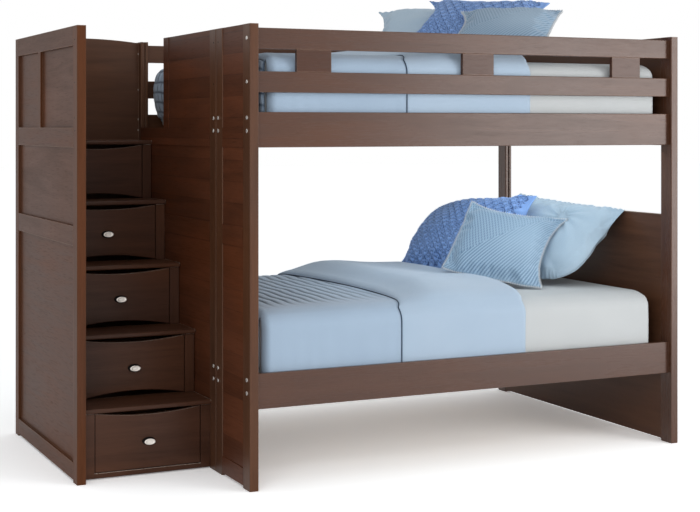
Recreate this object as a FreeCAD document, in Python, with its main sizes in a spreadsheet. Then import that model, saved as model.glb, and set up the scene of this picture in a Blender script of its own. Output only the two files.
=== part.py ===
import FreeCAD, Part
import math
import os
import re

import Sketcher
from FreeCAD import Placement, Rotation, Vector

# Full-over-full bunk bed with a drawer staircase on its left end.
# Row frame: +X to the right along the beds, +Y to the back, +Z up, millimetres.
# The origin is on the floor, under the middle of the overall length and depth.

SIZES = (
    # overall frame
    ("bed_height", 1765, "floor to the top of every post"),
    ("bed_depth", 1440, "front of the posts to the back of the posts"),
    ("bed_inside_length", 1924.6, "between the two end walls of the beds"),
    ("wall_thickness", 36, "posts, stiles and rails of every end wall"),
    ("stair_width", 560.5, "outer face of the stair side to the left face of the middle wall"),
    ("bed_post_width", 74, "corner posts of the beds, along Y"),
    ("stile_width", 72, "stiles beside the seam of the middle wall, along Y"),
    ("extension_depth", 369, "narrow front panel that widens the middle wall"),
    ("seam_gap", 2, "between the narrow front panel and the main panel"),
    ("edge_radius", 4, "rounded long edges of posts and rails"),
    ("joint_clearance", 0.25, "between a tongue and the sides of its groove"),
    # frame-and-panel walls
    ("panel_foot_gap", 10, "floor to the underside of the bottom rails"),
    ("bottom_rail_height", 66, "bottom rails of the end walls"),
    ("frame_rail_height", 77, "middle and sill rails of the end walls"),
    ("middle_rail_low", 914, "floor to the underside of the middle rails"),
    ("guard_board_height", 394, "top of the sill rails to the top of the posts"),
    ("top_rail_height", 76, "top rail of the stair side"),
    ("tongue_thickness", 12, "tongues on panels and rails"),
    ("tongue_depth", 7, "how far a tongue enters its groove"),
    ("groove_depth", 8, "grooves in stiles and rails"),
    ("wall_panel_recess", 3, "infill boards of the bed ends below the frame's face"),
    ("side_panel_recess", 12, "infill boards of the stair side below the frame's face"),
    ("opening_edge", 402, "back of the post to the guard's end, along Y"),
    # long rails
    ("rail_setback", 21, "front of the posts to the front of the rails"),
    ("rail_thickness", 21, "side rails and guard rails"),
    ("side_rail_height", 135, "side rails that carry the slats"),
    ("upper_rail_lift", 2, "sill rail's underside to the upper side rails' underside"),
    ("lower_rail_low", 304, "floor to the underside of the lower side rails"),
    ("guard_rail_height", 80, "both guard rails"),
    ("guard_drop", 14, "top of the posts to the top of the top guard rail"),
    ("spacer_height", 85.5, "spacer blocks, and so the gap between the guard rails"),
    ("spacer_length", 146, "spacer blocks between the guard rails"),
    ("spacer_thickness", 19, "spacer blocks, along Y"),
    ("spacer_recess", 2, "spacer blocks behind the face of the rails"),
    ("spacer_inset", 166, "end wall to the nearest spacer block, left"),
    ("spacer_inset_right", 149, "end wall to the nearest spacer block, right"),
    # sleeping platforms
    ("ledger_width", 25, "ledgers under the slats, along Y"),
    ("ledger_height", 30, "ledgers under the slats"),
    ("ledger_lift", 1, "side rail's underside to the ledger's underside"),
    ("slat_width", 76, "slats, along X"),
    ("slat_thickness", 19, "slats"),
    ("slat_end_gap", 2, "slat end to the side rail"),
    ("slat_margin", 30, "end beam to the first and the last slat"),
    ("end_beam_thickness", 22, "cross beams at both ends of each bed, along X"),
    ("end_ledge_height", 50, "right cross beams, which carry no joint"),
    ("beam_notch_drop", 6, "sill's top to the upper left beam behind the access opening"),
    ("beam_notch_margin", 8, "guard's end to the end of the beam's full height"),
    ("centre_beam_width", 62, "beam under the middle of the slats, along Y"),
    ("centre_beam_height", 31, "beam under the middle of the slats"),
    # bolts and nuts
    ("bolt_radius", 3.5, "shank"),
    ("bolt_head_radius", 7.5, "head"),
    ("bolt_head_height", 2.5, "head"),
    ("bolt_length", 86, "from under the head of a rail bolt"),
    ("seam_bolt_length", 56, "from under the head of a seam bolt"),
    ("bolt_clearance", 0.5, "between the shank and its hole"),
    ("head_clearance", 1.5, "around a bolt head that stands against the stair's back boards"),
    ("barrel_radius", 5, "barrel nuts"),
    ("barrel_margin", 3, "barrel nut's end to the rail's face"),
    ("barrel_inset", 12, "barrel nut's axis to the bolt's tip"),
    ("bolt_low_offset", 63, "side rail's underside to the lower bolt"),
    ("bolt_high_offset", 113, "side rail's underside to the upper bolt"),
    ("seam_bolt_inset", 25, "seam to the axis of the seam bolts"),
    ("plug_radius", 4.5, "plugs in the bolt holes that this layout leaves free"),
    ("plug_length", 10, "plugs"),
    ("side_plug_front", 34, "stair side's front edge to its front plugs"),
    ("side_plug_back", 18, "stair side's back edge to its back plugs"),
    # staircase
    ("stair_set_back", 378.5, "front of the beds to the front of the stair side"),
    ("side_stile_width", 62, "posts of the stair side, along Y"),
    ("side_middle_stile_width", 39, "short stile at the top of the stair side"),
    ("side_middle_stile_back", 429, "back of the stair side to its short stile"),
    ("first_nosing", 422, "front of the beds to the first tread's nosing"),
    ("step_run", 194, "nosing to nosing"),
    ("sill_step", 58, "top tread to the top of the sill rail, the last step up"),
    ("first_tread_top", 277, "floor to the first tread's top"),
    ("tread_thickness", 18, "treads"),
    ("nosing_overhang", 14, "nosing to the face frame under it"),
    ("nosing_radius", 7, "rounded front of the treads"),
    ("face_frame_thickness", 20, "face frames, along Y"),
    ("face_stile_left", 49, "left stile of the face frames"),
    ("face_stile_right", 41, "right stile of the face frames"),
    ("face_bottom_gap", 5, "floor to the lowest face frame and the side planks"),
    ("face_bottom_rail", 20, "rail under the lowest drawer"),
    ("side_plank_thickness", 18, "planks of the stepped side boards"),
    ("back_inset", 20, "back of the posts to the stair's back boards"),
    ("back_thickness", 20, "stair's back boards"),
    ("back_guard_drop", 4, "top of the posts to the arched guard's top at its two ends"),
    ("back_guard_rise", 16, "rise of the arch over its ends"),
    # drawers
    ("front_side_gap", 1.5, "drawer front to the face frame"),
    ("front_low_gap", 2, "drawer front to the tread or rail under it"),
    ("front_high_gap", 2, "drawer front to the tread over it"),
    ("front_thickness", 19, "drawer fronts"),
    ("front_edge_radius", 2.5, "rounded front edges of the drawer fronts"),
    ("front_shoulder", 5, "straight ends of a front's curved edges"),
    ("front_scoop", 17, "dip of the finger scoop in a front's top edge"),
    ("front_arch", 22, "rise of the arch in a front's bottom edge"),
    ("drawer_back_gap", 13, "top drawer's box to the stair's back boards"),
    ("drawer_box_height", 150, "drawer boxes"),
    ("drawer_box_lift", 30, "tread to the underside of the drawer box"),
    ("drawer_side_thickness", 12, "sides, back and sub-front of the boxes"),
    ("drawer_bottom_thickness", 6, "bottoms of the boxes"),
    ("drawer_bottom_lift", 10, "box's underside to its bottom board"),
    ("drawer_bottom_bite", 5, "how far the bottom enters its grooves"),
    ("slide_gap", 13, "side plank to the side of the drawer box"),
    ("slide_height", 36, "fixed slides"),
    ("slide_web", 3, "web of the fixed slides"),
    ("slide_flange", 4, "flanges of the fixed slides"),
    ("slide_depth", 7, "fixed slides, along X"),
    ("slide_clearance", 1.5, "moving slide to the channel it runs in"),
    ("slide_lift", 75, "tread to the underside of the fixed slides"),
    ("knob_length", 46, "oval knob, along X"),
    ("knob_height", 24, "oval knob, along Z"),
    ("knob_rim", 4, "flat side of the knob's rim"),
    ("knob_dome", 5, "dome over the rim"),
    ("knob_neck_length", 15, "drawer front to the knob's back"),
    ("knob_neck_radius", 6.5, "neck"),
    ("knob_lift", 116, "tread to the knob's middle"),
    ("screw_radius", 2, "knob screw"),
    ("screw_head_radius", 4.5, "knob screw's head"),
    ("screw_head_height", 2.5, "knob screw's head"),
    ("screw_bite", 10, "how far the screw enters the knob"),
    ("screw_clearance", 0.4, "around the knob screw"),
    # bedding
    ("mattress_end_slack", 72.6, "both gaps at a mattress's ends together"),
    ("mattress_side_gap", 12, "side rail to the mattress"),
    ("mattress_height", 305, "mattresses"),
    ("mattress_radius", 38, "rounded edges of the mattresses"),
    ("upper_mattress_left", 48, "middle wall to the upper mattress"),
    ("lower_mattress_left", 25, "middle wall to the lower mattress"),
    ("cover_thickness", 9, "covers at the sides of the mattress"),
    ("cover_gap", 0.6, "between the covers and the mattress"),
    ("quilt_top", 14, "ribbed quilt over the mattress"),
    ("blanket_top", 22, "turned-back blanket over the mattress"),
    ("blanket_crown", 26, "rise of the blanket's middle along X"),
    ("blanket_length", 580, "turned-back blanket along X"),
    ("bare_length", 682, "blanket to the mattress's right end"),
    ("cover_drop", 255, "covers' sides, down from the mattress's top"),
    ("sham_width", 705, "large quilted pillows"),
    ("sham_height", 475, "large quilted pillows"),
    ("sham_thickness", 130, "large quilted pillows"),
    ("blue_pillow_width", 645, "blue pillows"),
    ("blue_pillow_height", 440, "blue pillows"),
    ("blue_pillow_thickness", 125, "blue pillows"),
    ("ribbed_pillow_width", 460, "small ribbed pillows"),
    ("ribbed_pillow_height", 450, "small ribbed pillows"),
    ("ribbed_pillow_thickness", 110, "small ribbed pillows"),
)

NAMES = {name for name, value, note in SIZES}
BUNKS = ("upper", "lower")
STEPS = 5
DRAWERS = 4
SLATS = 13
SPARE_CELL = "F1"

doc = FreeCAD.newDocument("storage_stair_bunk")
sheet = doc.addObject("Spreadsheet::Sheet", "Sizes")
for row, (name, value, note) in enumerate(SIZES, 1):
    sheet.set("A%d" % row, name)
    sheet.set("B%d" % row, str(value))
    sheet.setAlias("B%d" % row, name)
    sheet.set("C%d" % row, note)
doc.recompute()

# Places that many pieces share, as formulas over the sheet.
TOTAL_LENGTH = "(stair_width + 2 * wall_thickness + bed_inside_length + bolt_head_height)"
STAIR_LEFT = "(-%s / 2)" % TOTAL_LENGTH
STAIR_INSIDE = "(%s + wall_thickness)" % STAIR_LEFT
WALL_LEFT = "(%s + stair_width)" % STAIR_LEFT
BED_LEFT = "(%s + wall_thickness)" % WALL_LEFT
BED_RIGHT = "(%s + bed_inside_length)" % BED_LEFT
END_RIGHT = "(%s + wall_thickness)" % BED_RIGHT
FRONT = "(-bed_depth / 2)"
BACK = "(bed_depth / 2)"
SEAM_FRONT = "(%s + extension_depth)" % FRONT
SEAM_BACK = "(%s + extension_depth + seam_gap)" % FRONT
GUARD_END = "(%s - opening_edge)" % BACK
SIDE_FRONT = "(%s + stair_set_back)" % FRONT
STAIR_BACK = "(%s - back_inset - back_thickness)" % BACK
FRONT_RAIL_FACE = "(%s + rail_setback)" % FRONT
FRONT_RAIL_INSIDE = "(%s + rail_setback + rail_thickness)" % FRONT
BACK_RAIL_INSIDE = "(%s - rail_setback - rail_thickness)" % BACK
FRONT_BOLT_LINE = "(%s + rail_setback + rail_thickness / 2)" % FRONT
BACK_BOLT_LINE = "(%s - rail_setback - rail_thickness / 2)" % BACK
SILL_TOP = "(bed_height - guard_board_height)"
SILL_LOW = "(%s - frame_rail_height)" % SILL_TOP
TOP_GUARD_LOW = "(bed_height - guard_drop - guard_rail_height)"
LOWER_GUARD_LOW = "(%s - spacer_height - guard_rail_height)" % TOP_GUARD_LOW
STEP_RISE = "((%s - sill_step - first_tread_top) / 4)" % SILL_TOP
MATTRESS_WIDTH = "(bed_depth - 2 * rail_setback - 2 * rail_thickness - 2 * mattress_side_gap)"
MATTRESS_LENGTH = "(bed_inside_length - mattress_end_slack)"
QUILT_LENGTH = "(%s - blanket_length - bare_length)" % MATTRESS_LENGTH
BOTTOM_RAIL_TOP = "(panel_foot_gap + bottom_rail_height)"
MIDDLE_RAIL_TOP = "(middle_rail_low + frame_rail_height)"
FACE_OPENING_LEFT = "(%s + face_stile_left)" % STAIR_INSIDE
FACE_OPENING_RIGHT = "(%s - face_stile_right)" % WALL_LEFT
KNOB_LINE = "((%s + %s) / 2)" % (FACE_OPENING_LEFT, FACE_OPENING_RIGHT)
RAIL_LOW = {"upper": "(%s + upper_rail_lift)" % SILL_LOW, "lower": "lower_rail_low"}
BOLT_HEIGHTS = (
    "(%s + guard_rail_height / 2)" % TOP_GUARD_LOW,
    "(%s + guard_rail_height / 2)" % LOWER_GUARD_LOW,
    "(%s + bolt_high_offset)" % RAIL_LOW["upper"],
    "(%s + bolt_low_offset)" % RAIL_LOW["upper"],
    "(%s + bolt_high_offset)" % RAIL_LOW["lower"],
    "(%s + bolt_low_offset)" % RAIL_LOW["lower"],
)
SEAM_BOLT_HEIGHTS = BOLT_HEIGHTS[2:]
FREE_HOLE_HEIGHTS = BOLT_HEIGHTS[:4]
SEAM_BOLT_LINES = (
    "(%s - seam_bolt_inset + seam_gap / 2)" % SEAM_FRONT,
    "(%s + seam_bolt_inset + seam_gap / 2)" % SEAM_BACK,
)

ALONG_X = Rotation(Vector(0, 1, 0), 90)
ALONG_Y = Rotation(Vector(1, 0, 0), -90)
ALONG_Z = Rotation()
TURN = {"x": ALONG_X, "y": ALONG_Y, "z": ALONG_Z}

nodes = {}


def formula(text):
    """The text with each size's name turned into a reference to its cell."""
    return re.sub(r"[a-z][a-z_]+", lambda m: "Sizes." + m.group() if m.group() in NAMES else m.group(), text)


def number(text):
    """The value of a formula at the sheet's present sizes, worked out in a spare cell."""
    sheet.set(SPARE_CELL, "=" + text)
    sheet.recompute()
    result = float(sheet.get(SPARE_CELL))
    sheet.clear(SPARE_CELL)
    return result


def tread_top(step):
    """Height of tread number step; step 0 is the base of the lowest face frame."""
    return "(first_tread_top + %d * %s)" % (step - 1, STEP_RISE)


def face_plane(step):
    """Front of face frame number step, along Y."""
    return "(%s + first_nosing + nosing_overhang + %d * step_run)" % (FRONT, step - 1)


def bind(thing, **texts):
    for prop, text in texts.items():
        thing.setExpression(prop, formula(text))


def bind_place(thing, corner, turn=ALONG_Z):
    thing.Placement = Placement(Vector(), turn)
    for axis, text in zip("xyz", corner):
        thing.setExpression("Placement.Base." + axis, formula(text))


def offset(point, corner):
    return tuple("%s - %s" % pair for pair in zip(point, corner))


def edge_names(shape, chosen):
    return ["Edge%d" % i for i, edge in enumerate(shape.Edges, 1) if chosen(edge)]


def along(axis):
    """Picks the straight edges that run along one axis."""
    index = "xyz".index(axis)

    def chosen(edge):
        ends = [vertex.Point for vertex in edge.Vertexes]
        return len(ends) == 2 and abs((ends[1] - ends[0]).normalize()[index]) > 0.999

    return chosen


def front_edges_along(axis):
    """Picks the edges along one axis that lie in the piece's front face."""
    def chosen(edge):
        return along(axis)(edge) and max(vertex.Point.y for vertex in edge.Vertexes) < 0.01

    return chosen


def all_edges(edge):
    return True


def in_front_face(edge):
    return max(vertex.Point.y for vertex in edge.Vertexes) < 0.01


def round_edges(body, base, chosen, radius):
    base.recompute(True)
    fillet = body.newObject("PartDesign::Fillet", body.Name + "_round")
    fillet.Base = (base, edge_names(base.Shape, chosen))
    bind(fillet, Radius=radius)
    return fillet


def box_feature(body, kind, corner, size):
    feature = body.newObject("PartDesign::" + kind, body.Name + "_" + kind.lower())
    bind(feature, Length=size[0], Width=size[1], Height=size[2])
    bind_place(feature, corner)
    return feature


def cylinder_feature(body, kind, axis, start, radius, length):
    feature = body.newObject("PartDesign::" + kind, body.Name + "_" + kind.lower())
    bind(feature, Radius=radius, Height=length)
    bind_place(feature, start, TURN[axis])
    return feature


def board(name, corner, size, rounded=None, radius="edge_radius", tongues=(), grooves=(), bores=()):
    """A straight board. Corners and points are formulas in the row frame.

    tongues and grooves are (corner, size); bores are (axis, start, radius, length).
    """
    body = doc.addObject("PartDesign::Body", name)
    blank = box_feature(body, "AdditiveBox", ("0", "0", "0"), size)
    if rounded:
        round_edges(body, blank, rounded, radius)
    for low, extent in tongues:
        box_feature(body, "AdditiveBox", offset(low, corner), extent)
    for low, extent in grooves:
        box_feature(body, "SubtractiveBox", offset(low, corner), extent)
    for axis, start, bore_radius, length in bores:
        cylinder_feature(body, "SubtractiveCylinder", axis, offset(start, corner), bore_radius, length)
    bind_place(body, corner)
    return body


def rod(name, axis, start, steps):
    """A turned piece: steps are (radius, length), one after another along the axis."""
    body = doc.addObject("PartDesign::Body", name)
    at = "0"
    for radius, length in steps:
        place = tuple(at if axis == letter else "0" for letter in "xyz")
        cylinder_feature(body, "AdditiveCylinder", axis, place, radius, length)
        at = "%s + %s" % (at, length)
    bind_place(body, start)
    return body


def node(name, pieces):
    """One named sub-part: a single body, or a group of separate alike pieces."""
    if len(pieces) == 1:
        pieces[0].Label = name
        nodes[name] = pieces[0]
        return
    group = doc.addObject("Part::Compound", name + "_group")
    group.Links = pieces
    group.Label = name
    nodes[name] = group


# ---------------------------------------------------------------- end walls

WALL_GROOVE_X = "((wall_thickness - tongue_thickness) / 2 - joint_clearance)"
GROOVE_WIDTH = "(tongue_thickness + 2 * joint_clearance)"
SHANK_HOLE = "(bolt_radius + bolt_clearance)"


def stile(name, x, y, width, grooved, low="0", high="bed_height", bores=()):
    """An upright of an end wall; grooved names the edges, front or back, with a groove."""
    grooves = []
    for side in grooved:
        groove_y = y if side == "front" else "(%s + %s - groove_depth)" % (y, width)
        grooves.append((("(%s + %s)" % (x, WALL_GROOVE_X), groove_y, low),
                        (GROOVE_WIDTH, "groove_depth", "(%s - %s)" % (high, low))))
    return board(name, (x, y, low), ("wall_thickness", width, "(%s - %s)" % (high, low)),
                 rounded=along("z"), grooves=grooves, bores=bores)


def cross_rail(name, x, y_from, y_to, low, height, grooved):
    """A rail between two uprights, with a stub tongue at both ends."""
    length = "(%s - %s)" % (y_to, y_from)
    inset = "((wall_thickness - tongue_thickness) / 2)"
    tongue = (("(%s + %s)" % (x, inset), "(%s - tongue_depth)" % y_from, "(%s)" % low),
              ("tongue_thickness", "(%s + 2 * tongue_depth)" % length, height))
    grooves = []
    for side in grooved:
        z = low if side == "under" else "(%s + %s - groove_depth)" % (low, height)
        grooves.append((("(%s + %s)" % (x, WALL_GROOVE_X), "(%s - tongue_depth - 1)" % y_from, z),
                        (GROOVE_WIDTH, "(%s + 2 * tongue_depth + 2)" % length, "groove_depth")))
    return board(name, (x, y_from, low), ("wall_thickness", length, height),
                 tongues=(tongue,), grooves=grooves)


def infill(name, x, y_from, y_to, low, high, recess, open_top=False, open_back=False):
    """A board between rails and uprights, held by a tongue all round."""
    thickness = "(wall_thickness - 2 * %s)" % recess
    top_bite = "0" if open_top else "tongue_depth"
    back_bite = "0" if open_back else "tongue_depth"
    low_bite = "0" if low == "panel_foot_gap" else "tongue_depth"
    height = "(%s - %s)" % (high, low)
    length = "(%s - %s)" % (y_to, y_from)
    tongue = (("(%s + (wall_thickness - tongue_thickness) / 2)" % x, "(%s - tongue_depth)" % y_from,
               "(%s - %s)" % (low, low_bite)),
              ("tongue_thickness", "(%s + tongue_depth + %s)" % (length, back_bite),
               "(%s + %s + %s)" % (height, low_bite, top_bite)))
    return board(name, ("(%s + %s)" % (x, recess), y_from, low), (thickness, length, height),
                 tongues=(tongue,))


def wall_bores(x, y_line, heights):
    """Holes right through a wall, along X."""
    return [("x", ("(%s - 1)" % x, y_line, z), SHANK_HOLE, "(wall_thickness + 2)") for z in heights]


def plug_bores(x, y_line, heights):
    """Blind holes in a wall's left face."""
    return [("x", ("(%s - 1)" % x, y_line, z), "plug_radius", "(plug_length + 1)") for z in heights]


def plug(name, x, y_line, z):
    return rod(name, "x", (x, y_line, z), (("plug_radius", "plug_length"),))


POST_TO = "(%s + bed_post_width)" % FRONT
EXTENSION_STILE = "(%s - stile_width)" % SEAM_FRONT
INNER_STILE_TO = "(%s + stile_width)" % SEAM_BACK
REAR_POST = "(%s - bed_post_width)" % BACK

node("wall_front_post", [stile("wall_front_post", WALL_LEFT, FRONT, "bed_post_width", ("back",),
                               bores=wall_bores(WALL_LEFT, FRONT_BOLT_LINE, BOLT_HEIGHTS))])
node("extension_rear_stile", [stile(
    "extension_rear_stile", WALL_LEFT, EXTENSION_STILE, "stile_width", ("front",),
    bores=wall_bores(WALL_LEFT, SEAM_BOLT_LINES[0], SEAM_BOLT_HEIGHTS)
    + plug_bores(WALL_LEFT, SEAM_BOLT_LINES[0], BOLT_HEIGHTS[:1]))])
node("wall_inner_stile", [stile(
    "wall_inner_stile", WALL_LEFT, SEAM_BACK, "stile_width", ("back",),
    bores=wall_bores(WALL_LEFT, SEAM_BOLT_LINES[1], SEAM_BOLT_HEIGHTS)
    + plug_bores(WALL_LEFT, SEAM_BOLT_LINES[1], BOLT_HEIGHTS[:2]))])
node("wall_rear_post", [stile("wall_rear_post", WALL_LEFT, REAR_POST, "bed_post_width", ("front",),
                              bores=wall_bores(WALL_LEFT, BACK_BOLT_LINE, BOLT_HEIGHTS))])

WALL_RAILS = (
    ("panel_foot_gap", "bottom_rail_height", ("over",)),
    ("middle_rail_low", "frame_rail_height", ("under", "over")),
    (SILL_LOW, "frame_rail_height", ("under", "over")),
)
WALL_BAYS = (
    ("extension", POST_TO, EXTENSION_STILE),
    ("main", INNER_STILE_TO, REAR_POST),
)
node("wall_cross_rails", [
    cross_rail("wall_rail_%s_%d" % (bay, i), WALL_LEFT, y_from, y_to, low, height, grooved)
    for bay, y_from, y_to in WALL_BAYS
    for i, (low, height, grooved) in enumerate(WALL_RAILS)])
node("wall_infill_boards", [
    infill("wall_infill_%s_%d" % (bay, i), WALL_LEFT, y_from, y_to, low, high, "wall_panel_recess")
    for bay, y_from, y_to in WALL_BAYS
    for i, (low, high) in enumerate(((BOTTOM_RAIL_TOP, "middle_rail_low"),
                                     (MIDDLE_RAIL_TOP, SILL_LOW)))])

GUARD_STILE = "(%s - stile_width)" % GUARD_END
guard_stile = board(
    "guard_stile", (WALL_LEFT, GUARD_STILE, SILL_TOP),
    ("wall_thickness", "stile_width", "(bed_height - %s)" % SILL_TOP), rounded=along("z"),
    tongues=((("(%s + (wall_thickness - tongue_thickness) / 2)" % WALL_LEFT,
               "(%s + groove_depth)" % GUARD_STILE, "(%s - tongue_depth)" % SILL_TOP),
              ("tongue_thickness", "(stile_width - 2 * groove_depth)", "(tongue_depth + 1)")),),
    grooves=((("(%s + %s)" % (WALL_LEFT, WALL_GROOVE_X), GUARD_STILE, SILL_TOP),
              (GROOVE_WIDTH, "groove_depth", "(bed_height - %s)" % SILL_TOP)),))
node("wall_guard_boards", [
    infill("extension_guard", WALL_LEFT, POST_TO, EXTENSION_STILE, SILL_TOP, "bed_height",
           "wall_panel_recess", open_top=True),
    infill("main_guard", WALL_LEFT, INNER_STILE_TO, GUARD_STILE, SILL_TOP, "bed_height",
           "wall_panel_recess", open_top=True),
    guard_stile])

node("right_end_posts", [
    stile("right_front_post", BED_RIGHT, FRONT, "bed_post_width", ("back",),
          bores=wall_bores(BED_RIGHT, FRONT_BOLT_LINE, BOLT_HEIGHTS)),
    stile("right_rear_post", BED_RIGHT, REAR_POST, "bed_post_width", ("front",),
          bores=wall_bores(BED_RIGHT, BACK_BOLT_LINE, BOLT_HEIGHTS))])
node("headboard_panel", [infill("headboard_panel", BED_RIGHT, POST_TO, REAR_POST, "panel_foot_gap",
                                MIDDLE_RAIL_TOP, "wall_panel_recess", open_top=True)])
node("upper_end_panel", [
    board("upper_end_panel", ("(%s + wall_panel_recess)" % BED_RIGHT, POST_TO, SILL_LOW),
          ("(wall_thickness - 2 * wall_panel_recess)", "(%s - %s)" % (REAR_POST, POST_TO),
           "(bed_height - %s)" % SILL_LOW),
          tongues=((("(%s + (wall_thickness - tongue_thickness) / 2)" % BED_RIGHT,
                     "(%s - tongue_depth)" % POST_TO, SILL_LOW),
                    ("tongue_thickness", "(%s - %s + 2 * tongue_depth)" % (REAR_POST, POST_TO),
                     "(bed_height - %s)" % SILL_LOW)),))])

# ------------------------------------------------------- long rails of the beds

BARREL_X = {
    "left": "(%s + bolt_length - barrel_inset)" % WALL_LEFT,
    "right": "(%s - bolt_length + barrel_inset)" % END_RIGHT,
}
BARREL_LENGTH = "(rail_thickness - 2 * barrel_margin)"
RAIL_LINES = {
    "front": (FRONT_RAIL_FACE, FRONT_BOLT_LINE),
    "rear": (BACK_RAIL_INSIDE, BACK_BOLT_LINE),
}


def long_rail(name, side, low, height, bolt_heights):
    """A rail along X between the end walls, bored for its bolts and barrel nuts."""
    y, bolt_line = RAIL_LINES[side]
    reach = "(bolt_length - wall_thickness + 2)"
    bores = []
    for z in bolt_heights:
        bores.append(("x", ("(%s - 1)" % BED_LEFT, bolt_line, z), SHANK_HOLE, reach))
        bores.append(("x", ("(%s - %s + 1)" % (BED_RIGHT, reach), bolt_line, z), SHANK_HOLE, reach))
        for x in BARREL_X.values():
            bores.append(("y", (x, "(%s + barrel_margin)" % y, z), "barrel_radius", BARREL_LENGTH))
    return board(name, (BED_LEFT, y, low), ("bed_inside_length", "rail_thickness", height),
                 rounded=along("x"), radius="(edge_radius * 0.75)", bores=bores)


def guard_rails(side):
    return [long_rail(side + "_top_guard_rail", side, TOP_GUARD_LOW, "guard_rail_height",
                      BOLT_HEIGHTS[:1]),
            long_rail(side + "_lower_guard_rail", side, LOWER_GUARD_LOW, "guard_rail_height",
                      BOLT_HEIGHTS[1:2])]


def side_rail(side, bunk):
    heights = ["(%s + %s)" % (RAIL_LOW[bunk], lift) for lift in ("bolt_high_offset", "bolt_low_offset")]
    return long_rail("%s_%s_side_rail" % (bunk, side), side, RAIL_LOW[bunk], "side_rail_height", heights)


top_guard, lower_guard = guard_rails("front")
node("front_top_guard_rail", [top_guard])
node("front_lower_guard_rail", [lower_guard])
node("rear_guard_rails", guard_rails("rear"))
for bunk in BUNKS:
    node(bunk + "_front_side_rail", [side_rail("front", bunk)])
node("rear_side_rails", [side_rail("rear", bunk) for bunk in BUNKS])

SPACER_LOW = "(%s + guard_rail_height)" % LOWER_GUARD_LOW
SPACER_SIZE = ("spacer_length", "spacer_thickness", "spacer_height")
FIRST_SPACER = "(%s + spacer_inset)" % BED_LEFT
LAST_SPACER = "(%s - spacer_inset_right - spacer_length)" % BED_RIGHT
SPACER_X = (FIRST_SPACER, "((%s + %s) / 2)" % (FIRST_SPACER, LAST_SPACER), LAST_SPACER)
SPACER_Y = (("front", "(%s + spacer_recess)" % FRONT_RAIL_FACE),
            ("rear", "(%s - rail_setback - spacer_recess - spacer_thickness)" % BACK))
node("guard_spacer_blocks", [
    board("%s_spacer_%d" % (side, i), (x, y, SPACER_LOW), SPACER_SIZE, rounded=along("z"),
          radius="(edge_radius / 2)")
    for side, y in SPACER_Y for i, x in enumerate(SPACER_X)])

# ------------------------------------------------------------ sleeping platforms


def slat_low(bunk):
    return "(%s + ledger_lift + ledger_height)" % RAIL_LOW[bunk]


def mattress_low(bunk):
    return "(%s + slat_thickness)" % slat_low(bunk)


def ledgers(bunk):
    low = "(%s + ledger_lift)" % RAIL_LOW[bunk]
    x = "(%s + end_beam_thickness)" % BED_LEFT
    size = ("(bed_inside_length - 2 * end_beam_thickness)", "ledger_width", "ledger_height")
    return [board(bunk + "_front_ledger", (x, FRONT_RAIL_INSIDE, low), size),
            board(bunk + "_rear_ledger", (x, "(%s - ledger_width)" % BACK_RAIL_INSIDE, low), size)]


def slats(bunk):
    length = "(%s - %s - 2 * slat_end_gap)" % (BACK_RAIL_INSIDE, FRONT_RAIL_INSIDE)
    first = "(%s + end_beam_thickness + slat_margin)" % BED_LEFT
    pitch = "((bed_inside_length - 2 * end_beam_thickness - 2 * slat_margin - slat_width) / %d)" % (SLATS - 1)
    return [board("%s_slat_%d" % (bunk, i), ("(%s + %d * %s)" % (first, i, pitch),
                                             "(%s + slat_end_gap)" % FRONT_RAIL_INSIDE, slat_low(bunk)),
                  ("slat_width", length, "slat_thickness")) for i in range(SLATS)]


def end_beams(bunk):
    """The left beam ties the two halves of the middle wall; the right one is a low ledge.

    Behind the access opening the upper left beam is cut down, so that nobody steps over it.
    """
    low = RAIL_LOW[bunk]
    length = "(%s - %s)" % (BACK_RAIL_INSIDE, FRONT_RAIL_INSIDE)
    heights = ["(%s + %s)" % (low, lift) for lift in ("bolt_high_offset", "bolt_low_offset")]
    bores = [("x", ("(%s - 1)" % BED_LEFT, y, z), SHANK_HOLE, "(end_beam_thickness + 2)")
             for y in SEAM_BOLT_LINES for z in heights]
    notch_low = "(%s - beam_notch_drop)" % SILL_TOP
    notch = ((("(%s - 1)" % BED_LEFT, "(%s - beam_notch_margin)" % GUARD_END, notch_low),
              ("(end_beam_thickness + 2)", "opening_edge",
               "(%s + side_rail_height - %s + 1)" % (low, notch_low))),)
    return [board(bunk + "_left_beam", (BED_LEFT, FRONT_RAIL_INSIDE, low),
                  ("end_beam_thickness", length, "side_rail_height"), bores=bores,
                  grooves=notch if bunk == "upper" else ()),
            board(bunk + "_right_beam", ("(%s - end_beam_thickness)" % BED_RIGHT, FRONT_RAIL_INSIDE, low),
                  ("end_beam_thickness", length, "end_ledge_height"))]


def centre_beam(bunk):
    return board(bunk + "_centre_beam",
                 ("(%s + end_beam_thickness)" % BED_LEFT, "(-centre_beam_width / 2)",
                  "(%s - centre_beam_height)" % slat_low(bunk)),
                 ("(bed_inside_length - 2 * end_beam_thickness)", "centre_beam_width",
                  "centre_beam_height"))


node("slat_ledgers", [piece for bunk in BUNKS for piece in ledgers(bunk)])
node("slats", [piece for bunk in BUNKS for piece in slats(bunk)])
node("end_beams", [piece for bunk in BUNKS for piece in end_beams(bunk)])
node("centre_beams", [centre_beam(bunk) for bunk in BUNKS])

# ------------------------------------------------------------- bolts, nuts, plugs


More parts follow.
